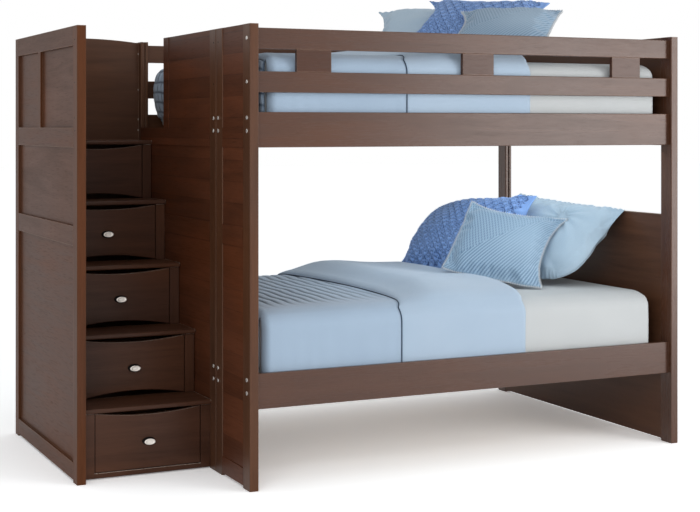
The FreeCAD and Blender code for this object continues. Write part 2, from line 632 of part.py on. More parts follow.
def bolt(name, side, y, z, length="bolt_length"):
    """A flat-headed bolt through a wall; side says which way its head faces."""
    head_x, shank_x = {
        "left": ("(%s - bolt_head_height)" % WALL_LEFT, WALL_LEFT),
        "right": (END_RIGHT, "(%s - %s)" % (END_RIGHT, length)),
    }[side]
    body = doc.addObject("PartDesign::Body", name)
    head = cylinder_feature(body, "AdditiveCylinder", "x", ("0", "0", "0"), "bolt_head_radius",
                            "bolt_head_height")
    outer = 0.0 if side == "left" else number("bolt_head_height")
    round_edges(body, head, lambda edge: abs(edge.CenterOfMass.x - outer) < 0.01, "(bolt_head_height * 0.45)")
    cylinder_feature(body, "AdditiveCylinder", "x", offset((shank_x, "0", "0"), (head_x, "0", "0")),
                     "bolt_radius", length)
    bind_place(body, (head_x, y, z))
    return body


def barrel_nut(name, x, y, z):
    """A cross dowel, drilled for its bolt."""
    body = doc.addObject("PartDesign::Body", name)
    cylinder_feature(body, "AdditiveCylinder", "y", ("0", "0", "0"), "barrel_radius", BARREL_LENGTH)
    cylinder_feature(body, "SubtractiveCylinder", "x",
                     ("(-barrel_radius - 1)", "(%s / 2)" % BARREL_LENGTH, "0"), "bolt_radius",
                     "(2 * barrel_radius + 2)")
    bind_place(body, (x, y, z))
    return body


bolts = []
barrel_nuts = []
for side in ("left", "right"):
    for depth, (rail_y, bolt_line) in RAIL_LINES.items():
        for i, z in enumerate(BOLT_HEIGHTS):
            tag = "%s_%s_%d" % (side, depth, i)
            bolts.append(bolt("bolt_" + tag, side, bolt_line, z))
            barrel_nuts.append(barrel_nut("barrel_" + tag, BARREL_X[side],
                                          "(%s + barrel_margin)" % rail_y, z))
for i, y in enumerate(SEAM_BOLT_LINES):
    for j, z in enumerate(SEAM_BOLT_HEIGHTS):
        bolts.append(bolt("seam_bolt_%d_%d" % (i, j), "left", y, z, "seam_bolt_length"))
node("joint_bolts", bolts)
node("barrel_nuts", barrel_nuts)
node("hole_plugs",
     [plug("plug_extension", WALL_LEFT, SEAM_BOLT_LINES[0], BOLT_HEIGHTS[0])]
     + [plug("plug_main_%d" % i, WALL_LEFT, SEAM_BOLT_LINES[1], z) for i, z in enumerate(BOLT_HEIGHTS[:2])]
     + [plug("plug_side_%d_%d" % (i, j), STAIR_LEFT, y, z)
        for i, y in enumerate(("(%s + side_plug_front)" % SIDE_FRONT, "(%s - side_plug_back)" % BACK))
        for j, z in enumerate(FREE_HOLE_HEIGHTS)])

# ------------------------------------------------------------------ stair side

SIDE_POST_TO = "(%s + side_stile_width)" % SIDE_FRONT
SIDE_REAR_POST = "(%s - side_stile_width)" % BACK
SIDE_TOP_RAIL = "(bed_height - top_rail_height)"
SIDE_MIDDLE_STILE = "(%s - side_middle_stile_back - side_middle_stile_width)" % BACK
SIDE_MIDDLE_STILE_TO = "(%s - side_middle_stile_back)" % BACK

node("stair_side_posts", [
    stile("stair_front_post", STAIR_LEFT, SIDE_FRONT, "side_stile_width", ("back",),
          bores=plug_bores(STAIR_LEFT, "(%s + side_plug_front)" % SIDE_FRONT, FREE_HOLE_HEIGHTS)),
    stile("stair_rear_post", STAIR_LEFT, SIDE_REAR_POST, "side_stile_width", ("front",),
          bores=plug_bores(STAIR_LEFT, "(%s - side_plug_back)" % BACK, FREE_HOLE_HEIGHTS))])
side_rails = [
    cross_rail("side_rail_%d" % i, STAIR_LEFT, SIDE_POST_TO, SIDE_REAR_POST, low, height, grooved)
    for i, (low, height, grooved) in enumerate(WALL_RAILS
                                               + ((SIDE_TOP_RAIL, "top_rail_height", ("under",)),))]
side_stile = board(
    "side_middle_stile", (STAIR_LEFT, SIDE_MIDDLE_STILE, SILL_TOP),
    ("wall_thickness", "side_middle_stile_width", "(%s - %s)" % (SIDE_TOP_RAIL, SILL_TOP)),
    tongues=((("(%s + (wall_thickness - tongue_thickness) / 2)" % STAIR_LEFT,
               "(%s + groove_depth)" % SIDE_MIDDLE_STILE, "(%s - tongue_depth)" % SILL_TOP),
              ("tongue_thickness", "(side_middle_stile_width - 2 * groove_depth)",
               "(%s - %s + 2 * tongue_depth)" % (SIDE_TOP_RAIL, SILL_TOP))),),
    grooves=[(("(%s + %s)" % (STAIR_LEFT, WALL_GROOVE_X), y, SILL_TOP),
              (GROOVE_WIDTH, "groove_depth", "(%s - %s)" % (SIDE_TOP_RAIL, SILL_TOP)))
             for y in (SIDE_MIDDLE_STILE, "(%s - groove_depth)" % SIDE_MIDDLE_STILE_TO)])
node("stair_side_rails", side_rails + [side_stile])
node("stair_side_infill", [
    infill("side_infill_%d" % i, STAIR_LEFT, y_from, y_to, low, high, "side_panel_recess")
    for i, (y_from, y_to, low, high) in enumerate((
        (SIDE_POST_TO, SIDE_REAR_POST, BOTTOM_RAIL_TOP, "middle_rail_low"),
        (SIDE_POST_TO, SIDE_REAR_POST, MIDDLE_RAIL_TOP, SILL_LOW),
        (SIDE_POST_TO, SIDE_MIDDLE_STILE, SILL_TOP, SIDE_TOP_RAIL),
        (SIDE_MIDDLE_STILE_TO, SIDE_REAR_POST, SILL_TOP, SIDE_TOP_RAIL)))])

# ------------------------------------------------------------------- staircase


def arc_radius(chord, rise):
    """Radius of the arc that stands rise high over a chord."""
    return "((%s) * (%s) / 4 + %s * %s) / (2 * %s)" % (chord, chord, rise, rise, rise)


def drawer_front_board(name, corner, width, height, arched, bores):
    """An inset front: a finger scoop in its top edge and, above the floor, an arch below."""
    body = doc.addObject("PartDesign::Body", name)
    last = box_feature(body, "AdditiveBox", ("0", "0", "0"), (width, "front_thickness", height))
    chord = "(%s - 2 * front_shoulder)" % width
    cuts = [("front_scoop", "(%s - front_scoop + (%s))" % (height, arc_radius(chord, "front_scoop")))]
    if arched:
        cuts.append(("front_arch", "(front_arch - (%s))" % arc_radius(chord, "front_arch")))
    for rise, centre in cuts:
        last = cylinder_feature(body, "SubtractiveCylinder", "y", ("(%s) / 2" % width, "-1", centre),
                                arc_radius(chord, rise), "(front_thickness + 2)")
    round_edges(body, last, in_front_face, "front_edge_radius")
    for axis, start, bore_radius, length in bores:
        cylinder_feature(body, "SubtractiveCylinder", axis, offset(start, corner), bore_radius, length)
    bind_place(body, corner)
    return body


def crowned_board(name, corner, width, height, thickness, rise, bores):
    """An upright board whose top edge is an arc: a sketch of the arc and its chord, padded."""
    body = doc.addObject("PartDesign::Body", name)
    box_feature(body, "AdditiveBox", ("0", "0", "0"), (width, thickness, height))
    plane = [feature for feature in body.Origin.OriginFeatures if feature.Role == "XZ_Plane"][0]
    sketch = body.newObject("Sketcher::SketchObject", name + "_crown")
    sketch.AttachmentSupport = [(plane, "")]
    sketch.MapMode = "FlatFace"
    wide, tall, up = number(width), number(height), number(rise)
    left, right = Vector(0, tall, 0), Vector(wide, tall, 0)
    arc = sketch.addGeometry(Part.Arc(right, Vector(wide / 2, tall + up, 0), left))
    chord = sketch.addGeometry(Part.LineSegment(left, right))
    for rule in (Sketcher.Constraint("Coincident", chord, 1, arc, 2),
                 Sketcher.Constraint("Coincident", chord, 2, arc, 1),
                 Sketcher.Constraint("Horizontal", chord),
                 Sketcher.Constraint("DistanceX", -1, 1, chord, 1, 0)):
        sketch.addConstraint(rule)
    for title, rule, text in (
            ("span", Sketcher.Constraint("DistanceX", chord, 1, chord, 2, wide), width),
            ("springing", Sketcher.Constraint("DistanceY", -1, 1, chord, 1, tall), height),
            ("sweep", Sketcher.Constraint("Radius", arc, (wide * wide / 4 + up * up) / (2 * up)),
             arc_radius(width, rise))):
        index = sketch.addConstraint(rule)
        sketch.renameConstraint(index, title)
        sketch.setExpression("Constraints." + title, formula(text))
    pad = body.newObject("PartDesign::Pad", name + "_cap")
    pad.Profile = sketch
    pad.Reversed = True
    bind(pad, Length=thickness)
    for axis, start, bore_radius, length in bores:
        cylinder_feature(body, "SubtractiveCylinder", axis, offset(start, corner), bore_radius, length)
    bind_place(body, corner)
    return body


STAIR_INSIDE_WIDTH = "(stair_width - wall_thickness)"
BACK_GUARD_LOW = tread_top(STEPS)


def head_recesses(heights):
    """Room in the back boards' edge for the bolt heads on the wall beside them."""
    depth = "(bolt_head_height + head_clearance)"
    return [("x", ("(%s - %s)" % (WALL_LEFT, depth), BACK_BOLT_LINE, z),
             "(bolt_head_radius + head_clearance)", "(%s + 1)" % depth) for z in heights]


node("stair_back_guard", [crowned_board(
    "stair_back_guard", (STAIR_INSIDE, STAIR_BACK, BACK_GUARD_LOW), STAIR_INSIDE_WIDTH,
    "(bed_height - back_guard_drop - %s)" % BACK_GUARD_LOW, "back_thickness", "back_guard_rise",
    head_recesses(BOLT_HEIGHTS[:4]))])
node("stair_back_panel", [board(
    "stair_back_panel", (STAIR_INSIDE, STAIR_BACK, "panel_foot_gap"),
    (STAIR_INSIDE_WIDTH, "back_thickness", "(%s - panel_foot_gap)" % BACK_GUARD_LOW),
    bores=head_recesses(BOLT_HEIGHTS[4:]))])


def tread(step):
    """A stair tread; the last one runs on to the back guard."""
    nosing = "(%s - nosing_overhang)" % face_plane(step)
    to = STAIR_BACK if step == STEPS else "(%s + face_frame_thickness)" % face_plane(step + 1)
    return board("tread_%d" % step, (STAIR_INSIDE, nosing, "(%s - tread_thickness)" % tread_top(step)),
                 (STAIR_INSIDE_WIDTH, "(%s - %s)" % (to, nosing), "tread_thickness"),
                 rounded=front_edges_along("x"), radius="nosing_radius")


node("treads", [tread(step) for step in range(1, STEPS + 1)])


def step_base(step):
    """Top of what face frame number step stands on."""
    return "face_bottom_gap" if step == 1 else tread_top(step - 1)


def step_ceiling(step):
    return "(%s - tread_thickness)" % tread_top(step)


def face_frame(step):
    """Two stiles at each step, and a rail under the lowest drawer."""
    height = "(%s - %s)" % (step_ceiling(step), step_base(step))
    pieces = [
        board("face_%d_left" % step, (STAIR_INSIDE, face_plane(step), step_base(step)),
              ("face_stile_left", "face_frame_thickness", height)),
        board("face_%d_right" % step, (FACE_OPENING_RIGHT, face_plane(step), step_base(step)),
              ("face_stile_right", "face_frame_thickness", height))]
    if step == 1:
        pieces.append(board("face_rail", (FACE_OPENING_LEFT, face_plane(step), step_base(step)),
                            ("(%s - %s)" % (FACE_OPENING_RIGHT, FACE_OPENING_LEFT),
                             "face_frame_thickness", "face_bottom_rail")))
    return pieces


node("step_face_frames", [piece for step in range(1, STEPS + 1) for piece in face_frame(step)])


def side_planks(step):
    """Planks behind the face frame, from the floor to the tread: together a stepped side board."""
    front = "(%s + face_frame_thickness)" % face_plane(step)
    to = STAIR_BACK if step == STEPS else "(%s + face_frame_thickness)" % face_plane(step + 1)
    size = ("side_plank_thickness", "(%s - %s)" % (to, front), "(%s - face_bottom_gap)" % step_ceiling(step))
    return [board("plank_%d_left" % step,
                  ("(%s - side_plank_thickness)" % FACE_OPENING_LEFT, front, "face_bottom_gap"), size),
            board("plank_%d_right" % step, (FACE_OPENING_RIGHT, front, "face_bottom_gap"), size)]


node("stepped_side_boards", [piece for step in range(1, STEPS + 1) for piece in side_planks(step)])

# --------------------------------------------------------------------- drawers

FRONT_WIDTH = "(%s - %s - 2 * front_side_gap)" % (FACE_OPENING_RIGHT, FACE_OPENING_LEFT)
BOX_LENGTH = "(%s - %s - front_thickness - drawer_back_gap)" % (STAIR_BACK, face_plane(DRAWERS))
BOX_LEFT = "(%s + slide_gap)" % FACE_OPENING_LEFT
BOX_RIGHT = "(%s - slide_gap)" % FACE_OPENING_RIGHT
BOX_INSIDE = "(%s - %s - 2 * drawer_side_thickness)" % (BOX_RIGHT, BOX_LEFT)


def drawer_base(step):
    """The level that a drawer's own heights start from."""
    return "(%s)" % tread_top(step - 1)


def screw_bore(y_from, length, step):
    return ("y", (KNOB_LINE, y_from, "(%s + knob_lift)" % drawer_base(step)),
            "(screw_radius + screw_clearance)", length)


def drawer_front(step, name, bored=True):
    y = face_plane(step)
    low = "(%s + face_bottom_rail + front_low_gap)" % step_base(step) if step == 1 \
        else "(%s + front_low_gap)" % step_base(step)
    height = "(%s - front_high_gap - %s)" % (step_ceiling(step), low)
    bores = [screw_bore("(%s - 1)" % y, "(front_thickness + 2)", step)] if bored else []
    return drawer_front_board(name, ("(%s + front_side_gap)" % FACE_OPENING_LEFT, y, low), FRONT_WIDTH,
                              height, step > 1, bores)


def drawer_box(step):
    """Two sides, a back, a sub-front and a bottom in grooves."""
    front = "(%s + front_thickness)" % face_plane(step)
    low = "(%s + drawer_box_lift)" % drawer_base(step)
    groove_z = "(%s + drawer_bottom_lift)" % low
    inside_y = "(%s + drawer_side_thickness)" % front
    inside_length = "(%s - 2 * drawer_side_thickness)" % BOX_LENGTH
    inner_left = "(%s + drawer_side_thickness)" % BOX_LEFT
    inner_right = "(%s - drawer_side_thickness)" % BOX_RIGHT
    back = "(%s + %s - drawer_side_thickness)" % (front, BOX_LENGTH)
    side_groove = ("drawer_bottom_bite", "(%s + 2 * drawer_bottom_bite)" % inside_length,
                   "drawer_bottom_thickness")
    cross_groove = (BOX_INSIDE, "drawer_bottom_bite", "drawer_bottom_thickness")
    groove_y = "(%s - drawer_bottom_bite)" % inside_y
    side_size = ("drawer_side_thickness", BOX_LENGTH, "drawer_box_height")
    cross_size = (BOX_INSIDE, "drawer_side_thickness", "drawer_box_height")
    tag = "drawer_%d_" % step
    return [
        board(tag + "left_side", (BOX_LEFT, front, low), side_size,
              grooves=((("(%s - drawer_bottom_bite)" % inner_left, groove_y, groove_z), side_groove),)),
        board(tag + "right_side", (inner_right, front, low), side_size,
              grooves=(((inner_right, groove_y, groove_z), side_groove),)),
        board(tag + "sub_front", (inner_left, front, low), cross_size,
              grooves=(((inner_left, groove_y, groove_z), cross_groove),),
              bores=(screw_bore("(%s - 1)" % front, "(drawer_side_thickness + 2)", step),)),
        board(tag + "back", (inner_left, back, low), cross_size,
              grooves=(((inner_left, back, groove_z), cross_groove),)),
        board(tag + "bottom", ("(%s - drawer_bottom_bite)" % inner_left, groove_y, groove_z),
              ("(%s + 2 * drawer_bottom_bite)" % BOX_INSIDE,
               "(%s + 2 * drawer_bottom_bite)" % inside_length, "drawer_bottom_thickness"))]


def oval(name, long_side, short_side):
    curve = doc.addObject("Part::Ellipse", name)
    bind(curve, MajorRadius="(%s / 2)" % long_side, MinorRadius="(%s / 2)" % short_side)
    return curve


def knob(step):
    """An oval domed head on a round neck, tapped for its screw; the second piece is the screw."""
    tag = "drawer_%d_knob" % step
    outline = oval(tag + "_oval", "knob_length", "knob_height")
    disc = doc.addObject("Part::Extrusion", tag + "_disc")
    disc.Base = outline
    disc.DirMode = "Custom"
    disc.Dir = Vector(0, 0, 1)
    disc.Solid = True
    bind(disc, LengthFwd="(knob_rim + knob_dome)")
    ball = doc.addObject("Part::Sphere", tag + "_ball")
    ball_radius = "((knob_length * knob_length / 4 + knob_dome * knob_dome) / (2 * knob_dome))"
    bind(ball, Radius=ball_radius)
    bind_place(ball, ("0", "0", "(knob_rim + knob_dome - %s)" % ball_radius))
    head = doc.addObject("Part::Common", tag + "_head")
    head.Base, head.Tool = disc, ball
    neck = doc.addObject("Part::Cylinder", tag + "_neck")
    bind(neck, Radius="knob_neck_radius", Height="(knob_neck_length + knob_rim / 2)")
    bind_place(neck, ("0", "0", "(-knob_neck_length)"))
    blank = doc.addObject("Part::Fuse", tag + "_blank")
    blank.Base, blank.Tool = head, neck
    tap = doc.addObject("Part::Cylinder", tag + "_tap")
    bind(tap, Radius="screw_radius", Height="screw_bite")
    bind_place(tap, ("0", "0", "(-knob_neck_length)"))
    whole = doc.addObject("Part::Cut", tag + "_body")
    whole.Base, whole.Tool = blank, tap
    lift = "(%s + knob_lift)" % drawer_base(step)
    bind_place(whole, (KNOB_LINE, "(%s - knob_neck_length)" % face_plane(step), lift),
               Rotation(Vector(1, 0, 0), 90))
    grip = "(front_thickness + drawer_side_thickness + screw_bite)"
    screw = rod(tag + "_screw", "y", (KNOB_LINE, "(%s - screw_bite)" % face_plane(step), lift),
                (("screw_radius", grip), ("screw_head_radius", "screw_head_height")))
    return [whole, screw]


def moving_slides(step):
    """Bars on the drawer's sides that run in the channels of the fixed slides."""
    low = "(%s + slide_lift + slide_flange + slide_clearance)" % drawer_base(step)
    height = "(slide_height - 2 * slide_flange - 2 * slide_clearance)"
    width = "(slide_gap - slide_web - slide_clearance)"
    front = "(%s + front_thickness)" % face_plane(step)
    size = (width, BOX_LENGTH, height)
    return [board("drawer_%d_left_slide" % step, ("(%s - %s)" % (BOX_LEFT, width), front, low), size),
            board("drawer_%d_right_slide" % step, (BOX_RIGHT, front, low), size)]


def fixed_slides(step):
    """Channels on the side planks, open towards the drawer."""
    low = "(%s + slide_lift)" % drawer_base(step)
    front = "(%s + face_frame_thickness)" % face_plane(step)
    size = ("slide_depth", BOX_LENGTH, "slide_height")
    channel = ("(slide_depth - slide_web + 1)", "(%s + 2)" % BOX_LENGTH, "(slide_height - 2 * slide_flange)")
    channel_y = "(%s - 1)" % front
    channel_z = "(%s + slide_flange)" % low
    right = "(%s - slide_depth)" % FACE_OPENING_RIGHT
    return [board("fixed_slide_%d_left" % step, (FACE_OPENING_LEFT, front, low), size,
                  grooves=((("(%s + slide_web)" % FACE_OPENING_LEFT, channel_y, channel_z), channel),)),
            board("fixed_slide_%d_right" % step, (right, front, low), size,
                  grooves=((("(%s - 1)" % right, channel_y, channel_z), channel),))]


for step in range(1, DRAWERS + 1):
    node("drawer_%d_front" % step, [drawer_front(step, "drawer_%d_front" % step)])
    node("drawer_%d_box" % step, drawer_box(step))
    node("drawer_%d_knob" % step, knob(step))
    node("drawer_%d_slides" % step, moving_slides(step))
node("fixed_slides", [piece for step in range(1, DRAWERS + 1) for piece in fixed_slides(step)])
node("false_front", [drawer_front(STEPS, "false_front", bored=False)])

# --------------------------------------------------------------------- bedding


def mattress(bunk):
    x = "(%s + %s_mattress_left)" % (BED_LEFT, bunk)
    return board(bunk + "_mattress", (x, "(-%s / 2)" % MATTRESS_WIDTH, mattress_low(bunk)),
                 (MATTRESS_LENGTH, MATTRESS_WIDTH, "mattress_height"), rounded=all_edges,
                 radius="mattress_radius")


def cover_section(x, rise, top):
    """A hoop over the mattress in a YZ plane: lines and quarter arcs, closed along its inside."""
    half = number("(%s / 2 + cover_gap)" % MATTRESS_WIDTH)
    wall = number("cover_thickness")
    bend = number("mattress_radius")
    drop = number("cover_drop")
    inner = [Vector(x, -half, -drop), Vector(x, -half, -bend), Vector(x, -half + bend, 0),
             Vector(x, half - bend, 0), Vector(x, half, -bend), Vector(x, half, -drop)]
    outer = [Vector(x, half + wall, -drop), Vector(x, half + wall, -bend), Vector(x, half - bend, top),
             Vector(x, -half + bend, top), Vector(x, -half - wall, -bend), Vector(x, -half - wall, -drop)]

    def corner(start, end, centre_y, reach_y, reach_z):
        lean = math.cos(math.pi / 4)
        middle = Vector(x, centre_y + reach_y * lean, -bend + reach_z * lean)
        return Part.Arc(start, middle, end).toShape()

    edges = [
        Part.makeLine(inner[0], inner[1]),
        corner(inner[1], inner[2], -half + bend, -bend, bend),
        Part.makeLine(inner[2], inner[3]),
        corner(inner[3], inner[4], half - bend, bend, bend),
        Part.makeLine(inner[4], inner[5]),
        Part.makeLine(inner[5], outer[0]),
        Part.makeLine(outer[0], outer[1]),
        corner(outer[1], outer[2], half - bend, bend + wall * 0.9, bend + top * 0.9),
        Part.Arc(outer[2], Vector(x, 0, top + rise), outer[3]).toShape(),
        corner(outer[3], outer[4], -half + bend, -bend - wall * 0.9, bend + top * 0.9),
        Part.makeLine(outer[4], outer[5]),
        Part.makeLine(outer[5], inner[0]),
    ]
    return Part.Wire(edges)


def covers(bunk):
    """The ribbed quilt at the foot and the turned-back blanket beside it, each a hoop."""
    quilt_end = number(QUILT_LENGTH)
    blanket_end = number("%s + blanket_length" % QUILT_LENGTH)
    crown_height = number("blanket_crown")
    quilt_height = number("quilt_top")
    blanket_height = number("blanket_top")
    gap = number("cover_gap")
    side_lift = 3
    quilt = Part.makeLoft([cover_section(x, side_lift, quilt_height) for x in (0, quilt_end - gap)], True, True)
    stations = 5
    sections = []
    for i in range(stations):
        share = i / (stations - 1)
        swell = crown_height * math.sin(math.pi * share)
        x = quilt_end + share * (blanket_end - quilt_end)
        sections.append(cover_section(x, side_lift + swell / 2, blanket_height + swell))
    blanket = Part.makeLoft(sections, True, False)
    pieces = []
    for name, shape in ((bunk + "_quilt", quilt), (bunk + "_blanket", blanket)):
        piece = doc.addObject("Part::Feature", name)
        piece.Shape = shape
        bind_place(piece, ("(%s + %s_mattress_left)" % (BED_LEFT, bunk), "0",
                           "(%s + mattress_height + cover_gap)" % mattress_low(bunk)))
        pieces.append(piece)
    return pieces


def pillow_shape(width, height, thickness):
    """Crowned faces over a seam whose long sides are drawn in towards the middle."""
    draw_in = 0.05 * height
    seam = 8.0
    stations = 9
    sections = []
    for i in range(stations):
        share = -1 + 2 * i / (stations - 1)
        full = (1 - abs(share) ** 3) ** 0.75
        tall = height - 2 * draw_in * (1 - share * share)
        thick = seam + (thickness - seam) * full
        x = share * width / 2
        low, high = Vector(x, 0, -tall / 2), Vector(x, 0, tall / 2)
        sections.append(Part.Wire([Part.Arc(low, Vector(x, -thick / 2, 0), high).toShape(),
                                   Part.Arc(high, Vector(x, thick / 2, 0), low).toShape()]))
    return Part.makeLoft(sections, True, False)


# Each pillow: the middle of its lower seam, as its distance from the right end wall, its place
# behind the bed's middle and its height over the mattress, then its turn, lean and roll in degrees.
PILLOWS = {
    "lower_sham": ((403.6, -47, 31), 12.6, 46.1, -5.3),
    "lower_blue_pillow": ((597.6, 239, 35), 10.7, 42.8, 4.6),
    "lower_ribbed_pillow": ((622.6, -240, 44), 54.9, 48.5, -14.2),
    "upper_sham": ((677.6, 124, 63), 53.1, 60.8, 0.7),
    "upper_blue_pillow": ((771.6, -63, 40), 31.5, 51.4, -6.0),
    "upper_ribbed_pillow": ((770.6, -491, 57), 47.8, 65.3, -1.6),
}


def pillow(name, seat, turn, lean, roll):
    bunk, kind = name.split("_", 1)
    width, height, thickness = [number("%s_%s" % (kind, side)) for side in ("width", "height", "thickness")]
    piece = doc.addObject("Part::Feature", name + "_shape")
    piece.Shape = pillow_shape(width, height, thickness)
    spin = Rotation(Vector(0, 0, 1), turn - 90) * Rotation(Vector(1, 0, 0), -lean) \
        * Rotation(Vector(0, 1, 0), -roll)
    end_distance, y, z = seat
    middle = spin.multVec(Vector(0, 0, height / 2)) + Vector(-end_distance, y, z)
    bind_place(piece, ("(%s + %.3f)" % (BED_RIGHT, middle.x), "%.3f" % middle.y,
                       "(%s + mattress_height + %.3f)" % (mattress_low(bunk), middle.z)), spin)
    return piece


for bunk in BUNKS:
    node(bunk + "_mattress", [mattress(bunk)])
    node(bunk + "_covers", covers(bunk))
for name, data in PILLOWS.items():
    node(name, [pillow(name, *data)])

# ---------------------------------------------------------------- check and write

doc.recompute()
faults = [thing.Name for thing in doc.Objects
          if {"Invalid", "Error"} & set(thing.State) and thing.TypeId != "App::Origin"]
for name, thing in nodes.items():
    shape = thing.Shape
    if shape.isNull() or not shape.isValid() or not shape.Solids:
        faults.append(name)
if faults:
    raise RuntimeError("failed: " + ", ".join(faults))

os.makedirs("parts", exist_ok=True)
for name, thing in nodes.items():
    thing.Shape.exportStep(os.path.join("parts", name + ".step"))
print(len(nodes), "sub-parts,", sum(len(thing.Shape.Solids) for thing in nodes.values()), "solids")
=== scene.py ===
# %% [markdown]
# # A dark brown bunk bed with storage stairs
# The frame, stairs, drawers and fasteners come from the CAD model and keep their places. This lesson gives
# them their satin timber and metal finishes, and makes the bedding: mattresses, quilts, turned-back covers
# and six pillows. Every length is in metres.

# %% Load the frame
import math
import bpy
import numpy as np
from mathutils import Matrix, Vector


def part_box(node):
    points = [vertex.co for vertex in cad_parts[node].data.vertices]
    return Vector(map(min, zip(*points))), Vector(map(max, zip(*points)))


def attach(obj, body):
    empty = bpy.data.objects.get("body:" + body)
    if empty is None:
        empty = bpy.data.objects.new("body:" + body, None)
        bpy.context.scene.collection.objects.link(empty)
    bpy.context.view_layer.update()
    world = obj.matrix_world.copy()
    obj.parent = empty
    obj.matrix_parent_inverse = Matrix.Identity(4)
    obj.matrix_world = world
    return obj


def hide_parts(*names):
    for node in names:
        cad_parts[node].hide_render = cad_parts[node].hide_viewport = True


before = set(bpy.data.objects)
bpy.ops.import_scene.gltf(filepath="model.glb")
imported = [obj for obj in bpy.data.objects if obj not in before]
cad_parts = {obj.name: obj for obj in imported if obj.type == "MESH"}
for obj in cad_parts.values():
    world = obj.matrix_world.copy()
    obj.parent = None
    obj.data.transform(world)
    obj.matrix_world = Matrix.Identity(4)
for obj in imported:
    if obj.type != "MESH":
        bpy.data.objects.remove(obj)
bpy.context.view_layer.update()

scene = bpy.context.scene
BUNKS = ("lower", "upper")
DRAWERS = (1, 2, 3, 4)


def new_object(name, data):
    thing = bpy.data.objects.new(name, data)
    scene.collection.objects.link(thing)
    return thing


def new_mesh(name, points, faces, edges=()):
    mesh = bpy.data.meshes.new(name)
    mesh.from_pydata(points, edges, faces)
    return mesh


# %% [markdown]
# ## Camera
# The picture was taken from the front left, a little under head height. A level camera keeps every post
# upright, and the downward shift moves the picture's frame without tilting the lens, as on a shift lens.

# %% Camera
camera_data = bpy.data.cameras.new("camera")
camera_data.lens = 74.90
camera_data.sensor_width = 36
camera_data.shift_y = -0.185
camera = new_object("camera", camera_data)
camera.location = (-2.7343, -5.8257, 1.3758)
camera.rotation_euler = (math.radians(90), 0, math.radians(-25.466))
scene.camera = camera
scene.view_settings.view_transform = "Standard"

# %% [markdown]
# ## Helpers for nodes
# Every finish is a small tree of nodes. These helpers add one node, set its options, and either link or
# fill its sockets, so that a material reads as a list of steps. What repeats in several finishes, such as a
# noise or a range, has its own short word.

# %% Node helpers
def colour(code):
    """The linear colour of a written one, such as 7a5543."""
    parts = [int(code[i:i + 2], 16) / 255 for i in (0, 2, 4)]
    return tuple(c / 12.92 if c <= 0.04045 else ((c + 0.055) / 1.055) ** 2.4 for c in parts) + (1,)


def plug(tree, node, **sockets):
    """Links or fills sockets by name, with _ for a space, or by number as i0, i1 and so on."""
    for key, value in sockets.items():
        socket = node.inputs[int(key[1:])] if key[1:].isdigit() else node.inputs[key.replace("_", " ")]
        if isinstance(value, bpy.types.NodeSocket):
            tree.links.new(value, socket)
        else:
            socket.default_value = value
    return node


def step(tree, kind, settings=None, **sockets):
    """Adds one node to a shader tree or a Geometry Nodes tree."""
    node = tree.nodes.new(("GeometryNode" if tree.type == "GEOMETRY" else "ShaderNode") + kind)
    for key, value in (settings or {}).items():
        setattr(node, key, value)
    return plug(tree, node, **sockets)


def first(tree, kind, settings=None, **sockets):
    """Adds one node and gives its first output."""
    return step(tree, kind, settings, **sockets).outputs[0]


def maths(tree, operation, a, b=0.0):
    return first(tree, "Math", {"operation": operation}, i0=a, i1=b)


def times(tree, a, b):
    return maths(tree, "MULTIPLY", a, b)


def plus(tree, a, b):
    return maths(tree, "ADD", a, b)


def less(tree, a, b):
    return maths(tree, "SUBTRACT", a, b)


def ramp(tree, value, start, end, low=0.0, high=1.0):
    """Turns the range from start to end into low to high, and holds it at both ends."""
    return first(tree, "MapRange", Value=value, From_Min=start, From_Max=end, To_Min=low, To_Max=high)


def noise(tree, place, **settings):
    return first(tree, "TexNoise", Vector=place, **settings)


def bump(tree, height, distance, strength):
    return first(tree, "Bump", Strength=strength, Distance=distance, Height=height)


def blend_colour(tree, share, first, second, kind="MIX"):
    node = step(tree, "Mix", {"data_type": "RGBA", "blend_type": kind}, i0=share, i6=first, i7=second)
    return node.outputs[2]


# %% Groups and finishes
def new_group(name, inputs, outputs, kind="Shader"):
    """A node group, with its inputs and outputs as name: type. Gives what comes in and the output node."""
    group = bpy.data.node_groups.new(name, kind + "NodeTree")
    for way, sockets in (("INPUT", inputs), ("OUTPUT", outputs)):
        for label, sort in sockets.items():
            group.interface.new_socket(label, in_out=way, socket_type="NodeSocket" + sort)
    return group, group.nodes.new("NodeGroupInput").outputs, group.nodes.new("NodeGroupOutput")


def place_group(tree, group, **sockets):
    return list(step(tree, "Group", {"node_tree": group}, **sockets).outputs)


def new_finish(name):
    """A material with only its Principled shader and output."""
    material = bpy.data.materials.new(name)
    material.use_nodes = True
    return material, material.node_tree, material.node_tree.nodes["Principled BSDF"]


def seen_directly(tree):
    """1 where the camera looks, also by a reflection or through glass, and 0 for scattered light."""
    rays = step(tree, "LightPath").outputs
    direct = maths(tree, "MAXIMUM", rays["Is Camera Ray"], rays["Is Glossy Ray"])
    return maths(tree, "MAXIMUM", direct, rays["Is Transmission Ray"])


# %% [markdown]
# ## Studio
# The object stands on a plain white floor under a white sky, in a product photographer's light. The sky
# gives even light. A tall soft lamp at the right front adds the sheen that grows along the rails towards
# their right ends, one at the left lights the stairs, one above the front the bedding, and a lamp under the
# upper bunk, which the camera doesn't see, brightens the lower bed as a reflector would. A paper sweep would
# do as well as this floor, but its curve would show in other views.

# %% Sky
SKY_LIGHT = 0.57
world = bpy.data.worlds.new("studio")
world.use_nodes = True
scene.world = world
sky = world.node_tree
sky.nodes.clear()
light, white = [first(sky, "Background", Color=(1, 1, 1, 1), Strength=s) for s in (SKY_LIGHT, 1.0)]
shown = first(sky, "MixShader", i0=seen_directly(sky), i1=light, i2=white)
step(sky, "OutputWorld", Surface=shown)

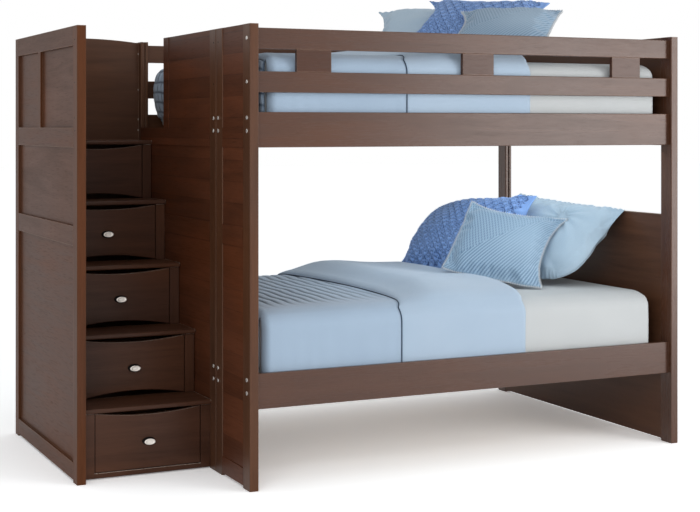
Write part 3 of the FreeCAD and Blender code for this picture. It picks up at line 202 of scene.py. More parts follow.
# %% Floor
HALF = 40
FLOOR_LIT, FLOOR_SEEN, FLOOR_GLOW = (0.9, 0.9, 0.9, 1), (1.43, 1.46, 1.48, 1), 0.19
corners = [(-HALF, -HALF, 0), (HALF, -HALF, 0), (HALF, HALF, 0), (-HALF, HALF, 0)]
floor = new_object("floor", new_mesh("floor", corners, [(0, 1, 2, 3)]))
floor_finish, tree, shader = new_finish("floor_white")
tree.nodes.remove(shader)
seen = seen_directly(tree)
paper = first(tree, "BsdfDiffuse", Color=blend_colour(tree, seen, FLOOR_LIT, FLOOR_SEEN))
glow = first(tree, "Emission", Color=(1, 1, 1, 1), Strength=times(tree, seen, FLOOR_GLOW))
plug(tree, tree.nodes["Material Output"], Surface=first(tree, "AddShader", i0=paper, i1=glow))
floor.data.materials.append(floor_finish)


# %% Lamps
def soft_lamp(name, place, aim, width, height, radiance, tint=(1, 1, 1)):
    """A rectangular lamp of one brightness, turned to face its aim."""
    data = bpy.data.lights.new(name, "AREA")
    data.shape = "RECTANGLE"
    data.size, data.size_y = width, height
    data.energy = radiance * math.pi * width * height
    data.color = tint
    lamp = new_object(name, data)
    lamp.location = place
    lamp.rotation_euler = (Vector(place) - Vector(aim)).to_track_quat("Z", "Y").to_euler()
    return lamp


soft_lamp("right_softbox", (4.1, -5.0, 1.3), (0.9, -0.7, 1.0), 3.0, 2.8, 6.9, (1, 0.985, 0.97))
soft_lamp("left_softbox", (-3.4, -4.4, 2.5), (0.2, 0.0, 0.9), 2.4, 2.2, 2.5)
soft_lamp("front_softbox", (0.5, -4.3, 3.7), (0.3, -0.4, 0.7), 3.0, 1.2, 1.6)
bunk_glow = soft_lamp("bunk_light", (0.52, -0.17, 1.262), (0.52, -0.17, 0.0), 1.45, 1.0, 1.14,
                      (0.82, 0.93, 1.0))
bunk_glow.visible_camera = bunk_glow.visible_glossy = False

# %% [markdown]
# ## Timber
# The real bed is solid and veneered timber under a dark chocolate stain and a satin lacquer. A picture of
# timber would repeat, so stretched noise gives the broad figure and the fine pores. The group is shared, and
# each finish turns its coordinates so that the grain runs along the board.

# %% Grain group
def drawn_out(tree, place, stretch, **settings):
    """Noise that is long along x and narrow across it."""
    longer = first(tree, "VectorMath", {"operation": "MULTIPLY"}, i0=place, i1=stretch)
    return noise(tree, longer, **settings)


grain, given, made = new_group("timber_grain", {"Vector": "Vector"},
                               {"Figure": "Float", "Pores": "Float", "Height": "Float"})
broad = drawn_out(grain, given["Vector"], (1.1, 11.0, 11.0), Scale=1.0, Detail=5.0, Roughness=0.55,
                  Distortion=1.3)
wavy = drawn_out(grain, given["Vector"], (3.0, 48.0, 48.0), Scale=1.0, Detail=4.0, Roughness=0.6,
                 Distortion=0.6)
specks = drawn_out(grain, given["Vector"], (14.0, 420.0, 420.0), Scale=1.0, Detail=2.0, Roughness=0.5)
figure = ramp(grain, plus(grain, times(grain, broad, 0.65), times(grain, wavy, 0.35)), 0.32, 0.68)
pores = ramp(grain, specks, 0.56, 0.68)
plug(grain, made, Figure=figure, Pores=pores, Height=less(grain, times(grain, figure, 0.25), pores))

# %% [markdown]
# ## Edge highlights and seam shade
# Edges get a painted highlight, stronger where they face up, and painted shade in the seam beside them.
# Both follow from one measure: how far the normal, rounded over a few millimetres, turns away from the face's own.

# %% Edge highlight and seam shade group
edge_light_mask, given, made = new_group("edge_light_mask", {"Radius": "Float"}, {"Edge": "Float", "Upward": "Float"})
facing = step(edge_light_mask, "NewGeometry").outputs["Normal"]
rounded = first(edge_light_mask, "Bevel", {"samples": 4}, Radius=given["Radius"])
alike = step(edge_light_mask, "VectorMath", {"operation": "DOT_PRODUCT"}, i0=facing, i1=rounded).outputs["Value"]
rise = step(edge_light_mask, "SeparateXYZ", Vector=rounded).outputs[2]
plug(edge_light_mask, made, Edge=ramp(edge_light_mask, alike, 0.985, 0.80), Upward=ramp(edge_light_mask, rise, 0.15, 0.45))

# %% Timber finish
TURN = {"x": (0, 0, 0), "y": (0, 0, math.radians(90)), "z": (0, math.radians(90), 0)}
WARM = (1.18, 1.00, 0.72, 1)
# SEAM_SHADE is painted shade beside edges where boards meet. JOINT_LINE is the dark joint between planks.
JOINT_LINE, SEAM_SHADE = colour("160c08"), colour("120a07")
EDGE_WIDTH = 0.0045
GRAIN_RELIEF = 0.00015


def timber(name, light, dark, along, roughness=0.42, gloss=0.35, shift=0.0, top_edge=0.45, side_edge=0.45,
           seam=0.0, planks=0.0, worn="b39681"):
    """A stained and lacquered board finish with its grain along x, y or z. Edges get the worn tone as a painted
    highlight, or painted shade where a seam is left, and planks is the height of the boards that a panel is glued
    up from."""
    material, tree, shader = new_finish(name)
    place = step(tree, "TexCoord").outputs["Object"]
    turned = first(tree, "Mapping", Vector=place, Location=(shift, 2.3 * shift, 1.7 * shift),
                   Rotation=TURN[along])
    figure, pores, height = place_group(tree, grain, Vector=turned)
    stain = blend_colour(tree, figure, colour(dark), colour(light))
    stain = blend_colour(tree, 1.0, stain, less(tree, 1.0, times(tree, pores, 0.16)), "MULTIPLY")
    patch = noise(tree, turned, Scale=1.7, Detail=1.0)
    stain = blend_colour(tree, ramp(tree, patch, 0.42, 0.62, 0.0, 0.6), stain, WARM, "MULTIPLY")
    if planks:
        course = maths(tree, "DIVIDE", step(tree, "SeparateXYZ", Vector=place).outputs[2], planks)
        own = first(tree, "TexWhiteNoise", {"noise_dimensions": "1D"}, W=maths(tree, "FLOOR", course))
        stain = blend_colour(tree, 1.0, stain, ramp(tree, own, 0.0, 1.0, 0.80, 1.18), "MULTIPLY")
        from_middle = maths(tree, "ABSOLUTE", less(tree, maths(tree, "FRACT", course), 0.5))
        stain = blend_colour(tree, ramp(tree, from_middle, 0.475, 0.495, 0.0, 0.4), stain, JOINT_LINE)
    edge, upward = place_group(tree, edge_light_mask, Radius=EDGE_WIDTH)
    level = less(tree, 1.0, upward)
    highlight_share = plus(tree, times(tree, upward, top_edge), times(tree, level, side_edge))
    # The worn tone is a painted highlight on rounded edges, stronger on edges that face up.
    stain = blend_colour(tree, times(tree, edge, highlight_share), stain, colour(worn))
    # Painted shade darkens the side and lower edges by the seam value.
    stain = blend_colour(tree, times(tree, edge, times(tree, level, seam)), stain, SEAM_SHADE)
    rough = plus(tree, roughness, times(tree, figure, -0.07))
    plug(tree, shader, Base_Color=stain, Roughness=plus(tree, rough, times(tree, pores, 0.08)),
         Normal=bump(tree, height, GRAIN_RELIEF, 0.35), Specular_IOR_Level=gloss)
    return material


def three_ways(name, light, dark, **extra):
    """The same finish for boards along x, y and z, each in two close tones."""
    return {axis: [timber(f"{name}_along_{axis}_{k + 1}", tone, under, axis, shift=1.37 * k + 0.4, **extra)
                   for k, (tone, under) in enumerate(((light, dark), (dark, light)))]
            for axis in "xyz"}


# %% [markdown]
# ## Which way each board's grain runs
# A CAD node may hold many boards. Timber is always sawn with its grain along the length, so each board's
# longest side chooses the finish. Only the wall's short boards are told: their grain runs across the bed.
# Only the material numbers of the faces are set: the mesh stays as it is.

# %% Boards of a node
SAME_POINT = 50000


def read(rows, what, width=3, kind=float):
    """One value of all points, corners or faces of a mesh, as an array."""
    values = np.empty(len(rows) * width, dtype=kind)
    rows.foreach_get(what, values)
    return values.reshape(-1, width) if width > 1 else values


def boards_of(mesh):
    """For each face, the number of the board that it belongs to. Points at one place are one point."""
    points = read(mesh.vertices, "co", 3, np.float32)
    keys = np.round(points * SAME_POINT).astype(np.int64)
    same = np.unique(keys, axis=0, return_inverse=True)[1].ravel()
    leader = list(range(int(same.max()) + 1))

    def find(i):
        while leader[i] != i:
            leader[i] = leader[leader[i]]
            i = leader[i]
        return i

    firsts = []
    for face in mesh.polygons:
        corners = [find(int(same[v])) for v in face.vertices]
        for c in corners[1:]:
            leader[c] = corners[0]
            corners[0] = find(corners[0])
        firsts.append(int(same[face.vertices[0]]))
    return np.array([find(i) for i in firsts]), points


def finish_boards(node, finishes, along=None):
    """Gives every board of a node the finish whose grain follows its longest side, or a named one."""
    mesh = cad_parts[node].data
    mesh.materials.clear()
    for axis in "xyz":
        for material in finishes[axis]:
            mesh.materials.append(material)
    board, points = boards_of(mesh)
    index = np.zeros(len(mesh.polygons), dtype=np.int32)
    for count, label in enumerate(np.unique(board)):
        faces = np.nonzero(board == label)[0]
        used = np.unique([v for f in faces for v in mesh.polygons[f].vertices])
        size = np.ptp(points[used], axis=0)
        axis = int(size.argmax()) if along is None else "xyz".index(along)
        index[faces] = 2 * axis + count % 2
    mesh.polygons.foreach_set("material_index", index)
    mesh.update()
    return len(np.unique(board))


# %% Finish the frame and stairs
def each_drawer(part):
    return [f"drawer_{k}_{part}" for k in DRAWERS]


brown = three_ways("brown_wood", "5e3f2e", "482e20", gloss=0.2)
rail_brown = three_ways("rail_wood", "54372a", "462d22", roughness=0.31, gloss=0.34)
# The spacer blocks sit set back behind the rails, and their finish is darker than the rails' as painted shade.
shaded_spacer_brown = three_ways("spacer_wood", "4c3025", "40281e", roughness=0.31, gloss=0.28)
# The wall's seam value paints shade along the edges of its recessed boards.
wall_brown = three_ways("wall_wood", "673b27", "4c2c1d", roughness=0.46, gloss=0.12, top_edge=0.0,
                        side_edge=0.0, seam=0.55, planks=0.083)
side_brown = three_ways("stair_side_wood", "603d2c", "4e3224", gloss=0.04, side_edge=0.5)
# The drawer fronts' near-white worn tone paints a highlight along the top edges of the scoops and nosings.
front_brown = three_ways("drawer_wood", "55382b", "40291f", roughness=0.34, gloss=0.16, top_edge=0.9,
                         # The drawer fronts' seam value paints shade in the gaps round them.
                         side_edge=0.0, seam=0.85, worn="e6d6c8")
inner_wood = three_ways("platform_wood", "c9a67c", "b28d62", roughness=0.6, gloss=0.25, top_edge=0.0,
                        side_edge=0.0)
box_wood = three_ways("drawer_box_wood", "6d4c37", "563a29", roughness=0.55, gloss=0.2, top_edge=0.0,
                      side_edge=0.0)
TIMBER = [
    (brown, ["wall_front_post", "extension_rear_stile", "wall_inner_stile", "wall_rear_post",
             "headboard_panel", "upper_end_panel", "rear_guard_rails", "rear_side_rails", "slat_ledgers",
             "end_beams", "centre_beams", "stair_back_guard", "stair_back_panel"]),
    (wall_brown, ["wall_cross_rails", "wall_infill_boards", "wall_guard_boards"]),
    (shaded_spacer_brown, ["guard_spacer_blocks"]),
    (rail_brown, ["front_top_guard_rail", "front_lower_guard_rail", "upper_front_side_rail",
                  "lower_front_side_rail", "right_end_posts"]),
    (side_brown, ["stair_side_posts", "stair_side_rails", "stair_side_infill"]),
    (front_brown, ["false_front", "treads", "step_face_frames", "stepped_side_boards"] + each_drawer("front")),
    (inner_wood, ["slats"]),
    (box_wood, each_drawer("box")),
]
ACROSS_THE_BED = ("wall_infill_boards", "wall_guard_boards")
for finishes, nodes in TIMBER:
    for node in nodes:
        count = finish_boards(node, finishes, "y" if node in ACROSS_THE_BED else None)
        print(node, count, "boards")


# %% [markdown]
# ## Metal and plugs
# Bolts and slides are zinc-plated steel and the knobs are brushed nickel. A plated part is rarely perfectly
# even, so a fine noise moves its roughness. The plugs in the unused holes are dull, dark plastic caps.

# %% Metal and plug finishes
def metal(name, tone, roughness, grain_size=900.0):
    material, tree, shader = new_finish(name)
    place = step(tree, "TexCoord").outputs["Object"]
    speckle = noise(tree, place, Scale=grain_size, Detail=2.0)
    cloud = noise(tree, place, Scale=35.0, Detail=3.0)
    duller = tuple(0.8 * c for c in colour(tone)[:3]) + (1,)
    plug(tree, shader, Base_Color=blend_colour(tree, cloud, colour(tone), duller),
         Roughness=plus(tree, roughness, times(tree, speckle, 0.12)),
         Normal=bump(tree, speckle, 0.00005, 0.2), Metallic=1.0)
    return material


bolt_finish = metal("bolt_steel", "ece9e4", 0.40)
slide_finish = metal("slide_steel", "a9adb0", 0.32)
knob_finish = metal("nickel", "e9e2da", 0.34, 1400.0)
plug_finish, tree, shader = new_finish("plug_plastic")
fleck = noise(tree, step(tree, "TexCoord").outputs["Object"], Scale=700.0)
plug(tree, shader, Base_Color=blend_colour(tree, fleck, colour("150d0a"), colour("0f0907")),
     Roughness=plus(tree, 0.6, times(tree, fleck, 0.15)), Specular_IOR_Level=0.12)

METAL = [(bolt_finish, ["joint_bolts", "barrel_nuts"]), (plug_finish, ["hole_plugs"]),
         (slide_finish, ["fixed_slides"] + each_drawer("slides")), (knob_finish, each_drawer("knob"))]
for material, nodes in METAL:
    for node in nodes:
        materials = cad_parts[node].data.materials
        materials.clear()
        materials.append(material)
    print(material.name, "on", len(nodes), "nodes")

# %% [markdown]
# ## Cloth finishes
# Close up, cloth is threads over and under each other. The weave group turns two rows of waves into that
# relief, measured in metres on the piece's own UV map, so that it follows every fold. Modelled threads would
# be millions of faces that nobody sees from a step away.

# %% Weave group
weave, given, made = new_group("plain_weave", {"Vector": "Vector", "Thread": "Float"},
                               {"Height": "Float", "Shade": "Float", "Cloud": "Float"})
scaled = first(weave, "VectorMath", {"operation": "SCALE"}, Vector=given["Vector"],
               Scale=maths(weave, "DIVIDE", math.pi, given["Thread"]))
across = step(weave, "SeparateXYZ", Vector=scaled).outputs
warp, weft = [maths(weave, "ABSOLUTE", maths(weave, "SINE", across[i])) for i in (0, 1)]
over = step(weave, "TexChecker", Vector=scaled, Scale=1 / math.pi, Color1=(1, 1, 1, 1),
            Color2=(0, 0, 0, 1)).outputs[1]
threads = plus(weave, times(weave, warp, over), times(weave, weft, less(weave, 1.0, over)))
# Shade is painted shade at thread scale: lighter on the thread tops, darker between the threads.
plug(weave, made, Height=threads, Shade=plus(weave, 0.88, times(weave, threads, 0.16)),
     Cloud=noise(weave, given["Vector"], Scale=5.0, Detail=4.0))


# %% Cloth finish
def cloth(name, light, dark, thread=0.0012, sheen=0.25, groove_shade_tone=None):
    """Woven cloth. The tone given as groove_shade_tone is painted shade in the grooves and quilting lines that a
    mesh marks.
    """
    material, tree, shader = new_finish(name)
    uv = first(tree, "UVMap", {"uv_map": "cloth"})
    height, shade, cloud = place_group(tree, weave, Vector=uv, Thread=thread)
    tone = blend_colour(tree, cloud, colour(dark), colour(light))
    tone = blend_colour(tree, 1.0, tone, shade, "MULTIPLY")
    if groove_shade_tone:
        depth = step(tree, "Attribute", {"attribute_name": "groove_and_shade"}).outputs["Fac"]
        tone = blend_colour(tree, depth, tone, colour(groove_shade_tone))
    plug(tree, shader, Base_Color=tone, Roughness=less(tree, 0.85, times(tree, height, 0.1)),
         Normal=bump(tree, height, 0.3 * thread, 0.4), Specular_IOR_Level=0.2, Sheen_Weight=sheen,
         Sheen_Roughness=0.5)
    return material


ticking = cloth("mattress_fabric", "c6cacc", "bec3c5", sheen=0.1)
piping_finish = cloth("mattress_piping", "f2f0ec", "e8e6e2", sheen=0.1)
quilt_finish = cloth("quilt_fabric", "a8bdd2", "9fb4ca", groove_shade_tone="2b425c")
blanket_finish = cloth("pale_blue_fabric", "afc2d5", "a5bacf")
sham_finish = cloth("sham_fabric", "b6ccdd", "aac2d5")
royal_finish = cloth("royal_blue_fabric", "9cc0f6", "7ba5e8", groove_shade_tone="173b78")
ribbed_finish = cloth("grey_blue_fabric", "a6bfd4", "97b3ca", groove_shade_tone="4a6c8f")
trim_finish = cloth("trim_thread", "f0f4f7", "e2e9ef", thread=0.0008)
hem_shadow_cord_finish = cloth("hem_shadow_cord", "33475f", "2a3c52", thread=0.0008, sheen=0.1)
print("materials", len(bpy.data.materials))

# %% [markdown]
# ## Cloth as grids
# A sheet or a cover is easiest to control as a grid of points: one direction along the bed, the other round
# it. These helpers turn such a grid into a closed mesh, with its flat size in metres as the UV map. The
# shapes themselves are sums of a few smooth curves: a bell, a rounded edge and a ripple.

# %% Smooth curves
CIRCLE = 6.283


def unit(value):
    return np.clip(value, 0, 1)


def ease(value):
    """From 0 to 1, with a soft start and end."""
    return unit(value) ** 2 * (3 - 2 * unit(value))


def bell(away, width):
    return np.exp(-(away / width) ** 2)


def from_line(count):
    """How far a count is from the nearest whole one: 0 on each line of an even row."""
    return count - np.round(count)


def rounded_edge(inside, radius):
    """0 at an edge, 1 from a radius inside it, and a quarter circle between."""
    return np.sqrt(1 - (1 - unit(inside / radius)) ** 2)


def joined(*runs):
    """Even runs of numbers, each (from, to, count), that share their ends."""
    return np.concatenate([np.linspace(*run)[:-1] for run in runs[:-1]] + [np.linspace(*runs[-1])])


def ripple(x, y, seed, size=0.12, turns=7):
    """A smooth random height over a plane, made from a few waves."""
    dice = np.random.RandomState(seed)
    total = np.zeros(np.broadcast(x, y).shape)
    for _ in range(turns):
        angle, phase, length = dice.uniform(0, math.pi), dice.uniform(0, 6.3), size * dice.uniform(0.6, 2.2)
        total = total + np.sin((x * math.cos(angle) + y * math.sin(angle)) * CIRCLE / length + phase)
    return total / turns


# %% Grid to mesh
def paint(mesh, *materials):
    """Gives a mesh its materials and smooth shading."""
    for material in materials:
        mesh.materials.append(material)
    mesh.polygons.foreach_set("use_smooth", [True] * len(mesh.polygons))
    mesh.update()


def link(name, mesh, *materials):
    paint(mesh, *materials)
    return new_object(name, mesh)


def grown(thing):
    """The mesh that an object's modifiers make of it."""
    return bpy.data.meshes.new_from_object(thing.evaluated_get(bpy.context.evaluated_depsgraph_get()))


def cells_of(number):
    """The four corners of each cell in a grid of point numbers."""
    return np.stack([number[:-1, :-1], number[1:, :-1], number[1:, 1:], number[:-1, 1:]], -1)


def skin(name, points, faces, flat):
    """A mesh of four-sided faces whose UV map is the flat cloth. Gives the mesh, the points that it uses,
    and each old point's new number."""
    faces = np.array(faces)
    used = np.unique(faces)
    fresh = np.full(len(points), -1)
    fresh[used] = np.arange(len(used))
    mesh = new_mesh(name, points[used].tolist(), fresh[faces].tolist())
    layer = mesh.uv_layers.new(name="cloth")
    layer.data.foreach_set("uv", flat[faces.ravel()].astype(np.float32).ravel())
    return mesh, used, fresh


def mark_groove_shade(mesh, depth):
    mesh.attributes.new("groove_and_shade", "FLOAT", "POINT").data.foreach_set("value", depth.astype(np.float32))


def closed_sheet(name, outer, inner, flat, keep, groove_and_shade):
    """Joins an outer and an inner grid into one closed skin. keep says which cells the cloth has."""
    behind = outer.shape[0] * outer.shape[1]
    cells = cells_of(np.arange(behind).reshape(outer.shape[:2]))[keep]
    edges = {(a, b): True for cell in cells.tolist() for a, b in zip(cell, cell[1:] + cell[:1])}
    rim = [(b, a, a + behind, b + behind) for a, b in edges if (b, a) not in edges]
    faces = cells.tolist() + (cells[:, ::-1] + behind).tolist() + rim
    points = np.concatenate([outer.reshape(-1, 3), inner.reshape(-1, 3)])
    mesh, used, _ = skin(name, points, faces, np.concatenate([flat.reshape(-1, 2)] * 2))
    if groove_and_shade is not None:
        mark_groove_shade(mesh, np.concatenate([groove_and_shade.ravel(), np.zeros(groove_and_shade.size)])[used])
    return mesh


# %% [markdown]
# ## Mattresses
# Each bunk holds a full-size mattress in a white fitted sheet. It is a firm block: flat below, a little
# crowned above, with soft edges. A bevel would give it one radius all round, so the block is a box grid
# whose edges are rolled by another radius each way, and the sheet's elastic puckers the lower edge.

# %% Rolled box
ROLL = np.array([0.045, 0.110, 0.062])
GRID = 0.03


def mattress_box(bunk):
    return [np.array(corner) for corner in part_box(bunk + "_mattress")]


def rolled(points, low, high, proud):
    """Moves points of a sharp box onto the same box with rolled edges, and then proud of it."""
    near = np.clip(points, low + ROLL, high - ROLL)
    away = (points - near) / ROLL
    away = away / np.maximum(np.linalg.norm(away, axis=-1, keepdims=True), 1e-9)
    normal = away / ROLL
    normal = normal / np.maximum(np.linalg.norm(normal, axis=-1, keepdims=True), 1e-9)
    return near + away * ROLL + normal * np.asarray(proud)[..., None]


def spaced(low, high, edge, edge_steps=8):
    """Grid lines at an even pitch, closer together within the rolled edges."""
    middle = np.linspace(low + edge, high - edge, max(2, int((high - low - 2 * edge) / GRID) + 1))
    lead = edge * (1 - np.cos(np.linspace(0, math.pi / 2, edge_steps + 1)[:-1]))
    return np.concatenate([low + lead, middle, high - lead[::-1]])


def box_grid(lines):
    """Points and four-sided faces of a box with these grid lines along x, y and z."""
    points, faces, index = [], [], {}

    def corner(p):
        key = tuple(np.round(p, 6))
        if key not in index:
            index[key] = len(points)
            points.append(p)
        return index[key]

    for axis, u, v in ((0, 1, 2), (1, 2, 0), (2, 0, 1)):
        for side, value in ((0, lines[axis][0]), (1, lines[axis][-1])):
            ids = np.empty((len(lines[u]), len(lines[v])), int)
            for i, a in enumerate(lines[u]):
                for j, b in enumerate(lines[v]):
                    p = [0.0, 0.0, 0.0]
                    p[axis], p[u], p[v] = value, a, b
                    ids[i, j] = corner(p)
            cells = cells_of(ids).reshape(-1, 4)
            faces += (cells if side else cells[:, ::-1]).tolist()
    return np.array(points), faces


# %% Mattresses
PUCKER, PUCKER_PITCH = 0.0018, 0.034
CROWN = 0.0025


def mattress(bunk):
    low, high = mattress_box(bunk)
    points, faces = box_grid([spaced(low[i], high[i], ROLL[i]) for i in range(3)])
    x, y, z = points.T
    rise = unit((z - low[2]) / (high[2] - low[2]))
    pucker = PUCKER * np.sin((x + y) * CIRCLE / PUCKER_PITCH) * bell(rise - 0.06, 0.10)
    proud = -CROWN + CROWN * np.sin(math.pi * rise) + pucker + 0.0008 * ripple(x, y + z, 5, 0.4)
    soft = rolled(points, low, high, np.where(z < low[2] + 0.001, -0.001, proud))
    mesh = new_mesh(bunk + "_mattress_padding", soft.tolist(), faces)
    layer = mesh.uv_layers.new(name="cloth")
    for face in mesh.polygons:
        n = face.normal
        for k in face.loop_indices:
            x, y, z = soft[mesh.loops[k].vertex_index]
            layer.data[k].uv = (x, y) if abs(n.z) > 0.7 else ((x, z) if abs(n.y) > abs(n.x) else (y, z))
    pad = link(bunk + "_mattress_padding", mesh, ticking)
    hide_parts(bunk + "_mattress")
    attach(pad, "bed")
    return pad


mattress_pads = {bunk: mattress(bunk) for bunk in BUNKS}
print("mattress faces", [len(pad.data.polygons) for pad in mattress_pads.values()])


# %% [markdown]
# ## End piping
# A bright corded seam runs round the right end of each fitted sheet. It follows the mattress's rolled edge,
# so Geometry Nodes sweep a small round profile along that path. A curve with a bevel would do as well, but
# the tree spaces its rings evenly, and the covers' hems use it again.

# %% Sweep tree
sweep, given, made = new_group(
    "corded_seam", {"Geometry": "Geometry", "Radius": "Float", "Pitch": "Float", "Finish": "Material"},
    {"Geometry": "Geometry"}, "Geometry")
round_section = first(sweep, "CurvePrimitiveCircle", Resolution=8, Radius=given["Radius"])
path = first(sweep, "MeshToCurve", Mesh=given["Geometry"])
even = first(sweep, "ResampleCurve", {"mode": "LENGTH"}, Curve=path, Length=given["Pitch"])
tube = first(sweep, "CurveToMesh", Curve=even, Profile_Curve=round_section)
smooth = first(sweep, "SetShadeSmooth", Geometry=tube)
painted = first(sweep, "SetMaterial", Geometry=smooth, Material=given["Finish"])
plug(sweep, made, Geometry=first(sweep, "RealizeInstances", Geometry=painted))


def follow(name, points, tree, slot, loop=False, **values):
    """Runs a tree along a line of points and hands the result over as a plain mesh piece on the bed."""
    edges = [(i, i + 1) for i in range(len(points) - 1)] + ([(len(points) - 1, 0)] if loop else [])
    line = new_mesh("line", [tuple(p) for p in points], [], edges)
    source = new_object("line", line)
    modifier = source.modifiers.new("grow", "NODES")
    modifier.node_group = tree
    ids = {item.name: item.identifier for item in tree.interface.items_tree if item.in_out == "INPUT"}
    for label, value in values.items():
        modifier[ids[label.replace("_", " ")]] = value
    mesh = grown(source)
    mesh.name = name
    bpy.data.objects.remove(source)
    bpy.data.meshes.remove(line)
    piece = new_object(name, mesh)
    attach(piece, "bed")
    return piece


# %% End piping
def end_piping(bunk):
    low, high = mattress_box(bunk)
    y, z = [spaced(low[i], high[i], ROLL[i]) for i in (1, 2)]
    ring = [(high[0], b, high[2]) for b in y] + [(high[0], high[1], c) for c in z[::-1]] \
        + [(high[0], b, low[2]) for b in y[::-1]] + [(high[0], low[1], c) for c in z]
    ring = np.array([p for i, p in enumerate(ring) if i == 0 or p != ring[i - 1]][:-1])
    ring = rolled(ring, low, high, np.full(len(ring), -0.002))
    return follow(bunk + "_mattress_piping", ring, sweep, "mattress_fabric", True,
                  Radius=0.0032, Pitch=0.014, Finish=piping_finish)


for bunk in BUNKS:
    print("piping faces", len(end_piping(bunk).data.polygons))

# %% [markdown]
# ## Quilts
# The quilt at the foot of each bed is a ribbed, thin one. It hangs over the front, the back and the left
# end, and smooths out towards the front edge. Its corners hang open. A cloth simulation would lose the
# ribs, so the cloth is a grid over the rolled box, with the corner squares left out, and the ribs are real
# grooves in its outer face.

# %% Cloth over the mattress
DROP = 0.255
QUILT_END = 0.700
END_DROP = 0.24


def past_edges(y, low, high):
    """How far down the front or back drop a point hangs."""
    return np.maximum(np.maximum(low[1] - y, y - high[1]), 0)


def lay_over(x, y, low, high, proud):
    """Places flat cloth points over the mattress: what is past an edge hangs down beside it."""
    fall = np.maximum(past_edges(y, low, high), low[0] - x)
    sharp = np.stack([np.maximum(x, low[0]), np.clip(y, low[1], high[1]), high[2] - fall], -1)
    return rolled(sharp, low, high + [1.0, 0.0, 0.0], proud)


# %% Quilts
RIB_PITCH, RIB_DEPTH, RIB_WIDTH = 0.046, 0.0060, 0.135
QUILT_THICK, QUILT_HEM = 0.0130, 0.0025
STITCH_PITCH = 0.052
END_BULGE = {"upper": 0.034, "lower": 0.012}


def quilt(bunk):
    low, high = mattress_box(bunk)
    x = np.concatenate([np.arange(low[0] - END_DROP, low[0] + QUILT_END, 0.004), [low[0] + QUILT_END]])
    y = joined((low[1] - DROP, low[1] + 0.1, 36), (low[1] + 0.1, high[1] - 0.1, 96),
               (high[1] - 0.1, high[1] + DROP, 30))
    x, y = np.meshgrid(x, y, indexing="ij")
    front = y - low[1]
    calm = ease((front - 0.07) / 0.25)
    reach = unit((low[0] + 0.62 - x) / 0.5 + front * 0.9)
    strength = np.where(y > high[1], 1.0, calm * (0.25 + 0.75 * reach))
    strength = np.where(x < low[0], np.maximum(strength, 0.8), strength)
    wave = 0.0035 * np.sin(y * CIRCLE / 0.26 + 1.5 * np.sin(x * 9)) + 0.009 * ripple(x, y, 3, 0.6)
    # groove_and_shade sets the ribs' depth and the painted shade in them.
    groove_and_shade = strength * bell(from_line((x - 0.06 * front + wave) / RIB_PITCH), RIB_WIDTH)
    depth = RIB_DEPTH * np.clip(1.1 - (low[0] - x) / 0.03, 0.25, 1)
    body = QUILT_THICK - depth * groove_and_shade + 0.0012 * ripple(x, y, 8, 0.25)
    drop = past_edges(y, low, high)
    folds = 0.0006 * unit(drop / DROP) * np.sin(x * CIRCLE / 0.075 + 2 * np.sin(x * 13))
    down = unit((low[0] - x) / END_DROP)
    bulge = END_BULGE[bunk] * unit(np.sin(math.pi * down)) ** 0.8
    swell = unit(front / 0.4) ** 0.5 * unit((high[1] + 0.06 - y) / 0.2) ** 0.4
    stitches = bell(from_line((y + 0.01 * np.sin(x * 30)) / STITCH_PITCH), 0.10) * unit(down / 0.1)
    groove_and_shade = np.maximum(groove_and_shade, 0.9 * stitches)
    body = body - 0.0055 * unit(drop / 0.06) + folds + bulge * swell - 0.0015 * stitches
    hem = rounded_edge(np.minimum.reduce([y - y.min(), y.max() - y, x.max() - x, x - x.min()]), 0.008)
    outer = lay_over(x, y, low, high, QUILT_HEM + (body - QUILT_HEM) * hem)
    inner = lay_over(x, y, low, high, np.full(x.shape, 0.002))
    cells_x, cells_y = x[:-1, :-1] + 0.002, (y[:-1, :-1] + y[1:, 1:]) / 2
    open_corner = (cells_x < low[0] + 0.012) & ((cells_y < low[1]) | (cells_y > high[1]))
    mesh = closed_sheet(bunk + "_quilt", outer, inner, np.stack([x, y], -1), ~open_corner, groove_and_shade)
    sheet = link(bunk + "_quilt", mesh, quilt_finish)
    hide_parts(bunk + "_covers")
    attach(sheet, "bed")
    return sheet


quilts = [quilt(bunk) for bunk in BUNKS]
print("quilt faces", [len(q.data.polygons) for q in quilts])


# %% [markdown]
# ## Turned-back covers
# Beside the quilt lies a thick, smooth light blue cover. It is plump along the middle of the bed and thin
# where it hangs at the front and back, and its hem crosses the quilt in a shallow curve, with a dark blue cord
# along it as painted contact shadow. It is a padded piece, so it isn't a sheet with a thickness: it has an outer
# skin and an inner one that meet at rounded hems.

# %% Plump covers
COVER_START, COVER_END = 0.606, 1.190
COVER_BOW, COVER_SIDE, COVER_CROWN = 0.075, 0.0106, 0.068


